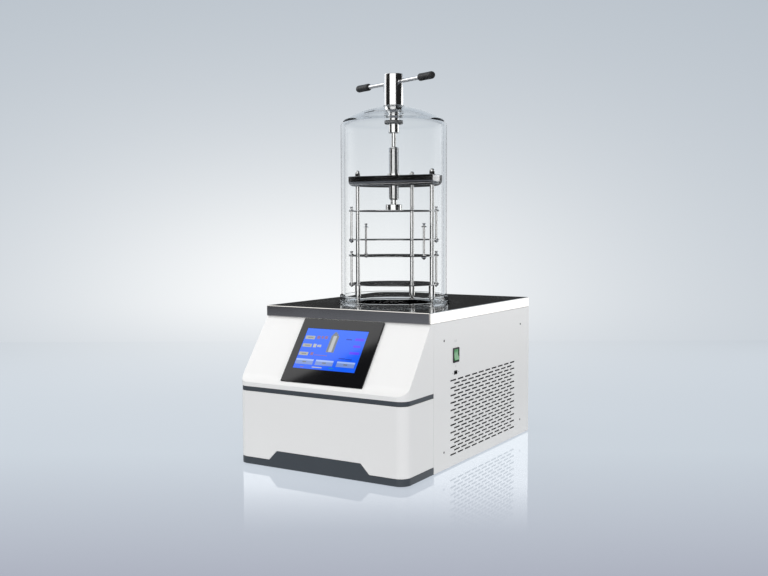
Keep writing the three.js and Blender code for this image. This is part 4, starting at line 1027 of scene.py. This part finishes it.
@dataclass
class SideFittings:
    """The power switch, data port and the fittings at the rear."""

    port_radius: float = 16 * MM
    port_bore: float = 14 * MM
    rim_radius: float = 22 * MM
    rim_thickness: float = 3 * MM
    rim_slope: float = 2 * MM
    plate_side: float = 48 * MM
    plate_corner: float = 3 * MM
    plate_thickness: float = 2 * MM
    plate_gap: float = SEAT_GAP
    mark_thickness: float = 0.05 * MM
    mark_gap: float = 0.03 * MM

    def build(self) -> None:
        """Builds each fitting."""
        fittings = (
            ("switch_bezel", 0.4, Finish.BLACK_PLASTIC, "machine", "black_plastic"),
            ("power_rocker", 0.7, Finish.GREEN_LENS, "rocker", "green_plastic"),
            ("data_port", 0.3, Finish.BLACK_PLASTIC, "machine", "black_plastic"),
            ("power_inlet", 0.5, Finish.BLACK_PLASTIC, "machine", "black_plastic"),
            ("air_valve_knob", 0.6, Finish.BLACK_PLASTIC, "air_valve", "black_plastic"),
            ("air_valve_body", 0.3, Finish.BRIGHT_STEEL, "machine", "brushed_steel"),
        )
        for node, edge, finish, body, slot in fittings:
            skin(node, edge * MM, finish, body)
        self.vacuum_port()
        self.marks()

    def vacuum_port(self) -> None:
        """Builds the vacuum port: a flanged tube through a square plate."""
        low, high = span("vacuum_port")
        rear = span("rear_panel")[1].y
        end = high.y - low.y
        rim = end - self.rim_thickness
        profile = softened([
            (self.port_bore, 0), (self.port_radius, 0), (self.port_radius, rim - self.rim_slope),
            (self.rim_radius, rim), (self.rim_radius, end), (self.port_bore, end),
        ], 0.5 * MM)
        centre = middle("vacuum_port")
        place = Vector((centre.x, low.y, centre.z))
        tube = revolved("vacuum_port_tube", profile, place, 64, Matrix.Rotation(-math.pi / 2, 4, "X"))
        finished(tube, Finish.BRIGHT_STEEL, "machine", ["vacuum_port"])
        inset = self.plate_side / 2 - self.plate_corner
        outline = []
        for quarter, (u, w) in enumerate(((1, 1), (-1, 1), (-1, -1), (1, -1))):
            for x, z in arc((0.0, 0.0), self.plate_corner, 90 - 90 * quarter, -90 * quarter, 5):
                outline.append((centre.x + u * inset + x, centre.z + w * inset + z))
        angles = (math.pi / 4 + math.tau * (i - 2.5) / 24 for i in range(24))
        hole = [
            (centre.x + self.port_radius * math.cos(a), centre.z + self.port_radius * math.sin(a)) for a in angles
        ]
        front = rear + self.plate_gap
        back = front + self.plate_thickness
        sides = ((hole, front), (outline, front), (outline, back), (hole, back))
        rings = [[Vector((x, y, z)) for x, z in points] for points, y in sides]
        plate = skinned("vacuum_port_plate", rings, capped=False)
        finished(plate, Finish.BRIGHT_STEEL, "machine")

    def marks(self) -> None:
        """Builds the faint printed ring and bar over and under the switch."""
        centre = middle("switch_bezel")
        face = span("right_side_panel")[1].x + self.mark_gap
        thin = self.mark_thickness
        ring = revolved(
            "switch_ring_mark", [(2.1 * MM, 0), (2.7 * MM, 0), (2.7 * MM, thin), (2.1 * MM, thin)],
            Vector((face, centre.y - 3.5 * MM, 291 * MM)), 40, Matrix.Rotation(math.pi / 2, 4, "Y"),
        )
        bars = [
            block("mark_bar", Matrix.Translation((face, centre.y + y * MM, z * MM)), (thin, width * MM, height * MM))
            for y, z, width, height in ((3.5, 291, 1.0, 5.4), (0.0, 233, 5.0, 1.0), (0.0, 231, 3.0, 0.8))
        ]
        finished(joined("switch_marks", [ring, *bars]), Finish.MARK_GREY, "machine")


@dataclass
class Refrigeration:
    """The hidden cooling plant and cold trap, seen only through the slots and the trap's mouth."""

    well_radius: float = 92 * MM
    well_wall: float = 1.2 * MM
    flange_reach: float = 10 * MM
    flange_thickness: float = 2 * MM

    def build(self) -> None:
        """Finishes each piece."""
        looks = {
            "evaporator_coil": Finish.COPPER, "trap_insulation": Finish.FOAM, "compressor": Finish.BLACK_ENAMEL,
            "condenser_block": Finish.ALUMINIUM_FINS, "fan_shroud": Finish.BLACK_PLASTIC, "fan_motor": Finish.ZINC,
            "fan_rotor": Finish.BLACK_PLASTIC, "control_box": Finish.ZINC,
        }
        for node, finish in looks.items():
            repaint(node, finish)
        self.well()

    def well(self) -> None:
        """Builds the smooth cold trap well, its steel darkened as painted shade."""
        low, high = span("cold_trap_well")
        foot, top, radius, wall = low.z, high.z, self.well_radius, self.well_wall
        rim, under = radius + wall + self.flange_reach, top - self.flange_thickness
        profile = softened([
            (0, foot), (radius + wall, foot), (radius + wall, under), (rim, under), (rim, top), (radius, top),
            (radius, foot + wall), (0, foot + wall),
        ], 0.6 * MM)
        # painted shade: the well's near-black steel stands in for the shade inside it
        turned("cold_trap_well", profile, 96, Finish.WELL_STEEL, "machine")


@dataclass
class BellJar:
    """The clear bell, its seal and its gland."""

    radius: float = 131.5 * MM
    wall: float = 8 * MM
    crown: float = 234 * MM
    knuckle: float = 18 * MM
    hole: float = 25 * MM
    rim_edge: float = 1.2 * MM
    seal_bore: float = 119 * MM
    seal_reach: float = 142.4 * MM
    gland_bore: float = 13.4 * MM
    gland_radius: float = 24.6 * MM
    gland_cone: float = 15 * MM

    def build(self) -> None:
        """Builds the three pieces."""
        top = span("gland_bush")[1].z
        rim = span("acrylic_bell")[0].z
        crown_centre = top - self.crown
        reach = self.crown - self.knuckle
        corner = (self.radius - self.knuckle, crown_centre + math.sqrt(reach**2 - (self.radius - self.knuckle) ** 2))
        meet = math.degrees(math.asin(corner[0] / reach))
        outer_hole = math.degrees(math.asin(self.hole / self.crown))
        inner_hole = math.degrees(math.asin(self.hole / (self.crown - self.wall)))
        edge, inside = self.rim_edge, self.radius - self.wall
        profile = [
            (self.radius - edge, rim), (self.radius, rim + edge),
            *arc(corner, self.knuckle, 90, meet, 12),
            *arc((0, crown_centre), self.crown, meet, outer_hole, 16)[1:],
            *arc((0, crown_centre), self.crown - self.wall, inner_hole, meet, 16),
            *arc(corner, self.knuckle - self.wall, meet, 90, 10)[1:],
            (inside, rim + edge), (inside + edge, rim),
        ]
        turned("acrylic_bell", profile, 160, Finish.ACRYLIC, "machine")
        self.seal()
        self.gland()

    def seal(self) -> None:
        """Builds the seal ring with its flared lip."""
        low, high = span("seal_ring")
        foot, top, inside, bore, reach = low.z, high.z, self.radius + SEAT_GAP, self.seal_bore, self.seal_reach
        floor = foot + 2.9 * MM
        profile = softened([
            (bore, foot), (reach - 3.4 * MM, foot), (reach, foot + 2.0 * MM), (reach - 0.4 * MM, foot + 2.7 * MM),
            (reach - 4.9 * MM, foot + 3.4 * MM), (inside + 3.6 * MM, foot + 6.5 * MM),
            (inside + 3.2 * MM, top - 2.5 * MM), (inside + 3.9 * MM, top - 1.2 * MM), (inside + 3.0 * MM, top),
            (inside, top), (inside, floor), (bore, floor),
        ], 0.7 * MM)
        turned("seal_ring", profile, 128, Finish.SILICONE, "machine")

    def gland(self) -> None:
        """Builds the gland that the handle turns in."""
        low, high = span("gland_bush")
        profile = softened([
            (self.gland_bore, low.z), (self.gland_radius, low.z), (self.gland_radius, high.z),
            (self.gland_radius - 2.2 * MM, high.z), (self.gland_bore, high.z - self.gland_cone),
        ], 0.5 * MM)
        turned("gland_bush", profile, 64, Finish.GLAND_PLASTIC, "machine")


@dataclass
class THandle:
    """The hub, cross bar, grips, collar and press screw with its two-start thread."""

    heading: float = -21.2
    hub_radius: float = 25 * MM
    neck_radius: float = 13 * MM
    bar_radius: float = 5 * MM
    thread_lead: float = 7 * MM
    thread_crest: float = 12.6 * MM
    thread_root: float = 10.8 * MM
    thread_foot: float = 256 * MM
    thread_top: float = 387 * MM
    screw_radius: float = 8 * MM
    drive_radius: float = 6 * MM
    collar_bore: float = 13.4 * MM
    collar_radius: float = 23 * MM
    bar_reach: float = 144.7 * MM
    grip_bore: float = 5.3 * MM

    def build(self) -> None:
        """Builds every turned piece of the handle and screw."""
        low, high = span("handle_hub")
        shoulder = span("gland_bush")[1].z + SEAT_GAP
        hub = softened([
            (0, low.z), (self.neck_radius, low.z), (self.neck_radius, shoulder - 15.3 * MM), (22 * MM, shoulder),
            (self.hub_radius, shoulder), (self.hub_radius, high.z), (0, high.z),
        ], 1.6 * MM, 5)
        turned("handle_hub", hub, 96, Finish.BRIGHT_STEEL, "t_handle")
        self.bar()
        low, high = span("retaining_collar")
        collar = softened([
            (self.collar_bore, low.z), (self.collar_radius, low.z), (self.collar_radius, high.z),
            (self.collar_bore, high.z),
        ], 2.5 * MM, 4)
        turned("retaining_collar", collar, 64, Finish.GREY_PLASTIC, "t_handle")
        self.screw(bell_axis())

    def bar(self) -> None:
        """Builds the cross bar and its two grips."""
        turn = Matrix.Rotation(math.radians(self.heading), 4, "Z")
        place = bell_axis() + Vector((0.0, 0.0, middle("handle_bar").z))
        half, radius = self.bar_reach, self.bar_radius
        bar = softened([(0, -half), (radius, -half), (radius, half), (0, half)], 0.8 * MM)
        along = turn @ Matrix.Rotation(math.pi / 2, 4, "Y")
        turned("handle_bar", bar, 40, Finish.BRIGHT_STEEL, "t_handle", place, along)
        grip = softened([
            (self.grip_bore, 100 * MM), (7.6 * MM, 100 * MM), (9 * MM, 102.5 * MM), (8.8 * MM, 120 * MM),
            (9 * MM, 145 * MM), (6.5 * MM, 150 * MM), (0, 150 * MM), (0, 145.2 * MM), (self.grip_bore, 145.2 * MM),
        ], 2.2 * MM, 4)
        for name, side in (("grip_left", -1), ("grip_right", 1)):
            way = turn @ Matrix.Rotation(side * math.pi / 2, 4, "Y")
            turned(name, grip, 48, Finish.BLACK_RUBBER, "t_handle", place, way)

    def screw(self, axis: Vector) -> None:
        """Builds the press screw with a real helical thread of two starts."""
        low, high = span("press_screw")
        plate = span("top_plate")[1].z
        foot, top = plate + self.thread_foot, plate + self.thread_top
        core_radius, shank, drive = self.thread_root + 0.2 * MM, self.screw_radius, self.drive_radius
        core = softened([
            (0, low.z), (shank - 0.6 * MM, low.z), (shank, low.z + 1 * MM), (shank, foot),
            (core_radius, foot + 2 * MM), (core_radius, top - 2 * MM), (drive, top), (drive, high.z), (0, high.z),
        ], 0.4 * MM)
        body = revolved("press_screw_core", core, axis, 48)
        recipe = Recipe("thread_recipe")
        lead = recipe.size("Lead", self.thread_lead)
        length = recipe.size("Length", top - foot - 4 * MM)
        radius = recipe.size("Root radius", self.thread_root)
        turns = recipe.math("DIVIDE", length, lead)
        spiral = recipe.add("GeometryNodeCurveSpiral", {
            "Resolution": 40, "Rotations": turns, "Start Radius": radius, "End Radius": radius, "Height": length,
            "Reverse": False,
        })
        upright = recipe.add("GeometryNodeSetCurveNormal", {"Curve": spiral.outputs[0]})
        upright.mode = "Z_UP"
        height = self.thread_crest - self.thread_root
        ridge = recipe.add("GeometryNodeCurvePrimitiveCircle", {"Resolution": 4, "Radius": height})
        swept = recipe.add(
            "GeometryNodeCurveToMesh",
            {"Curve": upright.outputs[0], "Profile Curve": ridge.outputs[0], "Fill Caps": True},
        ).outputs[0]
        second = recipe.transformed(swept, turn=(0.0, 0.0, math.pi))
        starts = recipe.add("GeometryNodeJoinGeometry", {0: [swept, second]})
        placed = recipe.transformed(starts.outputs[0], (axis.x, axis.y, foot + 2 * MM))
        thread = recipe.run("press_screw_thread", placed, Finish.BRIGHT_STEEL.material())
        finished(thread, Finish.BRIGHT_STEEL, "screw")
        finished(body, Finish.BRIGHT_STEEL, "screw", ["press_screw"])


@dataclass
class Rack:
    """The stoppering rack: columns, head plate, shelves, hanger rods and press foot."""

    shelf_radius: float = 112.5 * MM
    column_radius: float = 5 * MM
    sleeve_radius: float = 7.6 * MM
    head_radius: float = 120 * MM
    head_front: float = 25 * MM
    head_rounding: float = 12.5 * MM
    head_chamfer: float = 2.2 * MM
    nut_radius: float = 15 * MM
    nut_neck: float = 12.4 * MM
    nut_bore: float = 10.3 * MM
    rod_radius: float = 2.75 * MM
    turn: float = 3.4

    def build(self) -> None:
        """Builds every piece of the rack."""
        self.columns()
        self.head()
        self.shelves()
        self.rods()

    def columns(self) -> None:
        """Builds the three columns and their domed nuts."""
        names = ["column_left", "column_back", "column_right"]
        low, high = span(names[0])
        seat = span("shelf_4")[0].z - SEAT_GAP
        foot, r, neck, sleeve = low.z, self.column_radius, self.column_radius - 1 * MM, self.sleeve_radius
        profile = softened([
            (0, foot), (7 * MM, foot), (7 * MM, foot + 3 * MM), (neck, foot + 4.5 * MM), (neck, foot + 9.5 * MM),
            (sleeve, foot + 10.5 * MM), (sleeve, seat - 1 * MM), (6.8 * MM, seat), (r, seat), (r, high.z), (0, high.z),
        ], 0.5 * MM)
        spots = axes_of(names)
        unit = revolved("column_unit", profile, Vector(), 48)
        repeated("rack_columns", unit, spots, Finish.BRIGHT_STEEL, "machine", names)
        nuts = ["column_nut_left", "column_nut_back", "column_nut_right"]
        low, high = span(nuts[0])
        unit = self.domed_nut(low.z, high.z)
        repeated("column_nuts", unit, spots, Finish.BRIGHT_STEEL, "machine", nuts)

    @staticmethod
    def domed_nut(foot: float, top: float) -> bpy.types.Object:
        """Builds one domed nut: a chamfered hexagon under a ball end."""
        height = top - foot
        rings = []
        for inset, share in ((0.8, 0.0), (0.0, 0.06), (0.0, 0.46), (0.9, 0.52)):
            radius, level = (7 - inset) * MM, foot + share * height
            angles = (math.pi / 3 * i for i in range(6))
            rings.append([Vector((radius * math.cos(a), radius * math.sin(a), level)) for a in angles])
        hexagon = skinned("nut_hexagon", rings)
        dome = revolved("nut_dome", [
            (0, foot + height * 0.4), (5.9 * MM, foot + height * 0.4), *arc((0, top - 5.9 * MM), 5.9 * MM, 90, 0, 12),
        ], Vector(), 40)
        return joined("nut_unit", [hexagon, dome])

    def head(self) -> None:
        """Builds the head plate with its rounded under edge, and the screw nut."""
        low, high = span("head_plate")
        place = Matrix.Translation(bell_axis()) @ Matrix.Rotation(math.radians(self.turn), 4, "Z")
        rounding, chamfer, steps = self.head_rounding, self.head_chamfer, 10
        angles = [math.pi / 2 * i / steps for i in range(steps + 1)]
        levels = [(rounding * (1 - math.sin(a)), low.z + rounding * (1 - math.cos(a))) for a in angles]
        levels += [(0.0, high.z - chamfer), (chamfer * 0.3, high.z - chamfer * 0.3), (chamfer, high.z)]
        rings = []
        for inset, height in levels:
            radius = self.head_radius - inset
            corner = math.asin((self.head_front - inset) / radius)
            ring = []
            for i in range(97):
                angle = -corner + (math.pi + 2 * corner) * i / 96
                ring.append(place @ Vector((radius * math.cos(angle), radius * math.sin(angle), height)))
            rings.append(ring)
        plate = skinned("head_plate_skin", rings)
        finished(plate, Finish.HEAD_STEEL, "machine", ["head_plate"])
        nut_low, nut_high = span("screw_nut")
        seat = high.z + SEAT_GAP
        profile = softened([
            (self.nut_bore, nut_low.z), (self.nut_neck, nut_low.z), (self.nut_neck, seat), (self.nut_radius, seat),
            (self.nut_radius, nut_high.z), (self.nut_bore, nut_high.z),
        ], 0.5 * MM)
        turned("screw_nut", profile, 64, Finish.BRIGHT_STEEL, "machine")

    def shelves(self) -> None:
        """Builds the four shelves and the press foot."""
        bodies = {"shelf_1": "top_shelf", "shelf_2": "second_shelf", "shelf_3": "third_shelf", "shelf_4": "machine"}
        for node, body in bodies.items():
            low, high = span(node)
            radius = self.shelf_radius
            disc = softened([(0, low.z), (radius, low.z), (radius, high.z), (0, high.z)], 0.5 * MM)
            turned(node, disc, 128, Finish.SHELF_STEEL, body)
        low, high = span("press_foot")
        pad, cup, floor = 20 * MM, 8.4 * MM, low.z + 3 * MM
        foot = softened([(0, low.z), (pad, low.z), (pad, high.z), (cup, high.z), (cup, floor), (0, floor)], 1.5 * MM, 4)
        turned("press_foot", foot, 64, Finish.BRIGHT_STEEL, "top_shelf")

    def rods(self) -> None:
        """Builds the three pairs of hanger rods."""
        pairs = {
            "upper_rod": ("second_shelf", "shelf_2"),
            "middle_rod": ("third_shelf", "shelf_3"),
            "lower_rod": ("machine", "shelf_4"),
        }
        for kind, (body, shelf) in pairs.items():
            names = [f"{kind}_right", f"{kind}_left"]
            low, high = span(names[0])
            under, over = span(shelf)[0].z - SEAT_GAP, span(shelf)[1].z + SEAT_GAP
            r, base, top = self.rod_radius, high.z - 10 * MM, high.z
            profile = softened([
                (0, low.z), (0.8 * MM, low.z), (6 * MM, under - 3 * MM), (6.4 * MM, under), (r, under), (r, over),
                (4.8 * MM, over), (4.8 * MM, over + 2 * MM), (r, over + 2 * MM), (r, base), (7.5 * MM, base),
                (7.3 * MM, base + 0.8 * MM), (r + 0.3 * MM, base + 3 * MM), (r, base + 5 * MM),
                (4 * MM, top - 0.5 * MM), (3.4 * MM, top), (1.2 * MM, top - 4 * MM), (0, top - 4 * MM),
            ], 0.35 * MM)
            unit = revolved(f"{kind}_unit", profile, Vector(), 32)
            repeated(f"{kind}s", unit, axes_of(names), Finish.BRIGHT_STEEL, body, names)


# ------------------------------------------------------------------------------------------------ studio


def area_lamp(name: str, width: float, height: float, power: float) -> bpy.types.Object:
    """Links one rectangular lamp, unseen by the camera.

    Args:
        name: Its name.
        width: Its width.
        height: Its height.
        power: Its power in watts.

    Returns:
        The lamp.
    """
    data = bpy.data.lights.new(name, "AREA")
    data.shape, data.size, data.size_y, data.energy = "RECTANGLE", width, height, power
    lamp = bpy.data.objects.new(name, data)
    bpy.context.scene.collection.objects.link(lamp)
    lamp.visible_camera = False
    return lamp


@dataclass(frozen=True)
class SoftBox:
    """One rectangular soft box; one that isn't mirrored only fills."""

    name: str
    place: Place
    aim: Place
    width: float
    height: float
    power: float
    mirrored: bool = True

    def build(self) -> None:
        """Places the soft box with its lit face towards its aim."""
        lamp = area_lamp(self.name, self.width, self.height, self.power)
        lamp.location = self.place
        lamp.rotation_euler = (Vector(self.aim) - Vector(self.place)).to_track_quat("-Z", "Y").to_euler()
        lamp.visible_glossy = lamp.visible_transmission = self.mirrored


@dataclass(frozen=True)
class ScreenSheet:
    """The sheet whose straight edge crosses the screen's reflection at a slant."""

    edge: Place = (0.7319, 0.2047, 0.6499)
    inward: Place = (-0.3924, 0.9064, 0.1565)
    on_edge: Place = (-1.449, -1.298, 2.181)
    screen: Place = (0.0, -0.29, 0.27)
    length: float = 2.4
    width: float = 1.3
    power: float = 17.0

    def build(self) -> None:
        """Places the sheet with its lit face towards the screen."""
        edge, inward = Vector(self.edge), Vector(self.inward)
        away = edge.cross(inward).normalized()
        place = Vector(self.on_edge) + inward * (self.width / 2)
        back = away if away.dot(Vector(self.screen) - place) < 0 else -away
        across = edge if edge.cross(inward).dot(back) > 0 else -edge
        lamp = area_lamp("screen_sheet", self.length, self.width, self.power)
        lamp.matrix_world = Matrix.Translation(place) @ Matrix((across, inward, back)).transposed().to_4x4()


@dataclass
class Studio:
    """Camera, floor, backdrop and lights."""

    eye: Place = (1.2025, -2.06165, 0.553)
    yaw: float = 31.020
    pitch: float = 3.680
    roll: float = -0.132
    lens: float = 44.58
    far_tone: Place = (0.473, 0.530, 0.594)
    glow_tone: Place = (0.954, 0.968, 0.974)
    # painted shade: tint and start of the stage's darkening towards the camera
    near_shade_tint: Place = (1.25, 1.5, 1.42)
    glow_centre: Point = (-0.069, -0.070)
    glow_width: float = 0.286
    glow_above: float = 0.144
    glow_below: float = 0.068
    near_shade_rise: float = -0.24
    lowest_rise: float = -0.38
    slope: float = -0.152
    backdrop_distance: float = 2.2
    backdrop_edge: Point = (0.95, 1.15)
    backdrop_mirrored: Point = (0.04, 1.3)
    floor_size: Point = (9.0, 7.0)
    backdrop_size: Point = (9.0, 4.2)
    floor_shade: float = 0.06
    floor_mirrored: float = 0.40
    mirror: float = 0.30
    mirror_starts: Point = (1.70, 2.05)
    mirror_ends: Point = (0.5, 0.95)
    world_tone: Place = (1.0, 0.99, 0.98)
    world_seen: float = 0.62
    world_matt: float = 0.40
    world_least: float = 0.02

    def build(self) -> None:
        """Builds the whole studio."""
        self.camera()
        self.stage()
        self.lamps()
        self.world()
        bpy.context.scene.view_settings.view_transform = "Standard"

    def camera(self) -> None:
        """Sets the camera."""
        data = bpy.data.cameras.new("camera")
        data.lens, data.sensor_width = self.lens, 36.0
        camera = bpy.data.objects.new("camera", data)
        bpy.context.scene.collection.objects.link(camera)
        yaw, pitch, roll = (math.radians(angle) for angle in (self.yaw, self.pitch, self.roll))
        forward = Vector((-math.sin(yaw) * math.cos(pitch), math.cos(yaw) * math.cos(pitch), -math.sin(pitch)))
        level = forward.cross(Vector((0, 0, 1))).normalized()
        rise = level.cross(forward)
        right = level * math.cos(roll) + rise * math.sin(roll)
        up = rise * math.cos(roll) - level * math.sin(roll)
        rotation = Matrix((right, up, -forward)).transposed().to_4x4()
        camera.matrix_world = Matrix.Translation(self.eye) @ rotation
        bpy.context.scene.camera = camera

    def stage_colour(self, shader: Nodes) -> bpy.types.NodeSocket:
        """Adds the pale blue-grey that floor and backdrop share, with painted light brightest behind the machine and
        painted shade towards the camera.
        """
        yaw = math.radians(self.yaw)
        forward = Vector((-math.sin(yaw), math.cos(yaw), 0.0))
        right = Vector((math.cos(yaw), math.sin(yaw), 0.0))
        place = shader.add("ShaderNodeNewGeometry").outputs["Position"]
        offset = shader.vector("SUBTRACT", place, self.eye)
        depth = shader.math("MAXIMUM", shader.vector("DOT_PRODUCT", offset, forward, "Value"), 0.3)
        side = shader.vector("DOT_PRODUCT", offset, right, "Value")
        height = shader.add("ShaderNodeSeparateXYZ", {0: offset}).outputs["Z"]
        across = shader.math("SUBTRACT", shader.math("DIVIDE", side, depth), self.glow_centre[0])
        rise = shader.math("MAXIMUM", shader.math("DIVIDE", height, depth), self.lowest_rise)
        lift = shader.math("SUBTRACT", rise, self.glow_centre[1])
        total: object = 1.0
        for value, size in (
            (across, self.glow_width),
            (shader.math("MAXIMUM", lift, 0.0), self.glow_above),
            (shader.math("MINIMUM", lift, 0.0), self.glow_below),
        ):
            share = shader.math("ABSOLUTE", shader.math("DIVIDE", value, size))
            total = shader.math("ADD", shader.math("POWER", share, 2.0), total)
        tone = shader.add("ShaderNodeMix", {"Factor": shader.math("DIVIDE", 1.0, total)}, data_type="RGBA")
        tone.inputs[6].default_value = (*self.far_tone, 1.0)
        tone.inputs[7].default_value = (*self.glow_tone, 1.0)
        sloped = shader.vector("ADD", tone.outputs[2], shader.math("MULTIPLY", rise, self.slope))
        # painted shade: low on the floor, towards the camera, the stage darkens
        foot = shader.math("MINIMUM", shader.math("SUBTRACT", rise, self.near_shade_rise), 0.0)
        return shader.vector("ADD", sloped, shader.vector("SCALE", self.near_shade_tint, foot))

    @staticmethod
    def first_sight(shader: Nodes) -> bpy.types.NodeSocket:
        """Adds a mask that is 1 where a ray reaches the stage straight or through clear plastic alone."""
        rays = shader.add("ShaderNodeLightPath")
        seen = shader.math("MAXIMUM", rays.outputs["Is Camera Ray"], rays.outputs["Is Transmission Ray"])
        past_wall = shader.math("GREATER_THAN", rays.outputs["Transmission Depth"], 2.5)
        glossy = shader.math("MULTIPLY", rays.outputs["Glossy Depth"], past_wall)
        bounces = shader.math("ADD", glossy, rays.outputs["Diffuse Depth"])
        return shader.math("MULTIPLY", seen, shader.math("LESS_THAN", bounces, 0.5))

    def stage(self) -> None:
        """Builds the floor and the backdrop."""
        yaw = math.radians(self.yaw)
        turn = Matrix.Rotation(yaw, 4, "Z")
        floor = self.sheet("studio_floor", Matrix.Translation((0, 0, -0.0005)) @ turn, self.floor_size)
        floor.data.materials.append(self.floor_material())
        far = self.backdrop_distance
        behind = Matrix.Translation((-math.sin(yaw) * far, math.cos(yaw) * far, 2.0))
        upright = behind @ turn @ Matrix.Rotation(math.pi / 2, 4, "X")
        backdrop = self.sheet("studio_backdrop", upright, self.backdrop_size)
        backdrop.data.materials.append(self.backdrop_material())

    @staticmethod
    def sheet(name: str, place: Matrix, size: Point) -> bpy.types.Object:
        """Builds one flat sheet."""
        shape = bmesh.new()
        bmesh.ops.create_grid(shape, x_segments=1, y_segments=1, size=0.5)
        bmesh.ops.transform(shape, matrix=place @ Matrix.Diagonal((*size, 1.0, 1.0)), verts=shape.verts)
        return from_bmesh(name, shape)

    def floor_material(self) -> bpy.types.Material:
        """Builds the pale floor: a faint shadow, and a clear reflection that fades away from the machine's foot."""
        material, shader, principled = blank_material("pale_floor")
        set_principled(material, {"Base Color": (0.10, 0.105, 0.11, 1.0), "Roughness": 0.9, "Specular IOR Level": 0.0})
        own = shader.vector("SUBTRACT", self.stage_colour(shader), (self.floor_shade,) * 3)
        seen = shader.math("MULTIPLY", self.first_sight(shader), 1.0 - self.floor_mirrored)
        strength = shader.math("ADD", seen, self.floor_mirrored)
        glow = shader.add("ShaderNodeEmission", {"Color": own, "Strength": strength})
        level = (1.0, 1.0, 0.0)
        place = shader.add("ShaderNodeNewGeometry").outputs["Position"]
        from_eye = shader.vector("MULTIPLY", shader.vector("SUBTRACT", place, self.eye), level)
        from_machine = shader.vector("MULTIPLY", place, level)
        far = shader.ramp(shader.vector("LENGTH", from_eye, result="Value"), *self.mirror_starts, 0.0, self.mirror)
        close = shader.ramp(shader.vector("LENGTH", from_machine, result="Value"), *self.mirror_ends, 1.0, 0.0)
        fade = shader.math("MULTIPLY", far, close)
        shine = shader.add("ShaderNodeCombineXYZ", {0: fade, 1: fade, 2: fade}).outputs[0]
        mirror = shader.add("ShaderNodeBsdfGlossy", {"Color": shine, "Roughness": 0.03})
        base = shader.add("ShaderNodeAddShader", {0: principled.outputs[0], 1: glow.outputs[0]})
        whole = shader.add("ShaderNodeAddShader", {0: base.outputs[0], 1: mirror.outputs[0]})
        shader.link(whole.outputs[0], shader.tree.nodes["Material Output"].inputs[0])
        return material

    def backdrop_material(self) -> bpy.types.Material:
        """Builds the backdrop: pale to the eye, and to bright metal dark below and white above."""
        material, shader, _ = blank_material("pale_backdrop")
        mask = self.first_sight(shader)
        place = shader.add("ShaderNodeNewGeometry").outputs["Position"]
        height = shader.add("ShaderNodeSeparateXYZ", {0: place}).outputs["Z"]
        upper = shader.ramp(height, *self.backdrop_edge, *self.backdrop_mirrored)
        mirrored = shader.math("MULTIPLY", shader.math("SUBTRACT", 1.0, mask), upper)
        strength = shader.math("ADD", mask, mirrored)
        glow = shader.add("ShaderNodeEmission", {"Color": self.stage_colour(shader), "Strength": strength})
        shader.link(glow.outputs[0], shader.tree.nodes["Material Output"].inputs[0])
        return material

    @staticmethod
    def lamps() -> None:
        """Places the soft boxes and the screen's sheet."""
        for lamp in (
            SoftBox("front_sheet", (1.05, -3.02, 1.35), (0.0, 0.0, 1.0), 4.3, 2.6, 52.0),
            SoftBox("right_card", (1.45, 2.15, 0.65), (0.0, 0.0, 0.45), 1.6, 1.25, 12.0),
            SoftBox("overhead", (0.2, -0.3, 3.0), (0.0, 0.0, 0.3), 1.8, 1.8, 9.0),
            SoftBox("side_fill", (2.9, -0.9, 0.9), (0.2, 0.0, 0.2), 1.8, 1.8, 27.0, mirrored=False),
            SoftBox("front_fill", (-1.9, -1.9, 0.8), (0.0, -0.3, 0.2), 1.4, 1.4, 9.0, mirrored=False),
            SoftBox("left_card", (-2.15, -0.38, 1.35), (0.0, 0.0, 1.0), 1.15, 1.6, 7.0),
            ScreenSheet(),
        ):
            lamp.build()

    def world(self) -> None:
        """Sets the even studio light: pale to matt surfaces, nearly black to bright metal."""
        world = bpy.data.worlds.new("studio")
        bpy.context.scene.world = world
        world.use_nodes = True
        shader = Nodes(world.node_tree)
        matt = shader.add("ShaderNodeLightPath").outputs["Is Diffuse Ray"]
        background = world.node_tree.nodes["Background"]
        background.inputs["Color"].default_value = (*self.world_tone, 1.0)
        seen = shader.math("MULTIPLY", self.first_sight(shader), self.world_seen)
        lit = shader.math("ADD", shader.math("MULTIPLY", matt, self.world_matt), self.world_least)
        shader.link(shader.math("MAXIMUM", lit, seen), background.inputs["Strength"])


def main() -> None:
    """Builds the studio and every sub-assembly in order."""
    logging.basicConfig(level=logging.INFO, format="%(message)s")
    for part in (
        Studio(), Cabinet(), SideGrille(), PanelScrews(), TouchScreen(), SideFittings(), Refrigeration(), BellJar(),
        THandle(), Rack(),
    ):
        part.build()


if __name__ == "__main__":
    main()
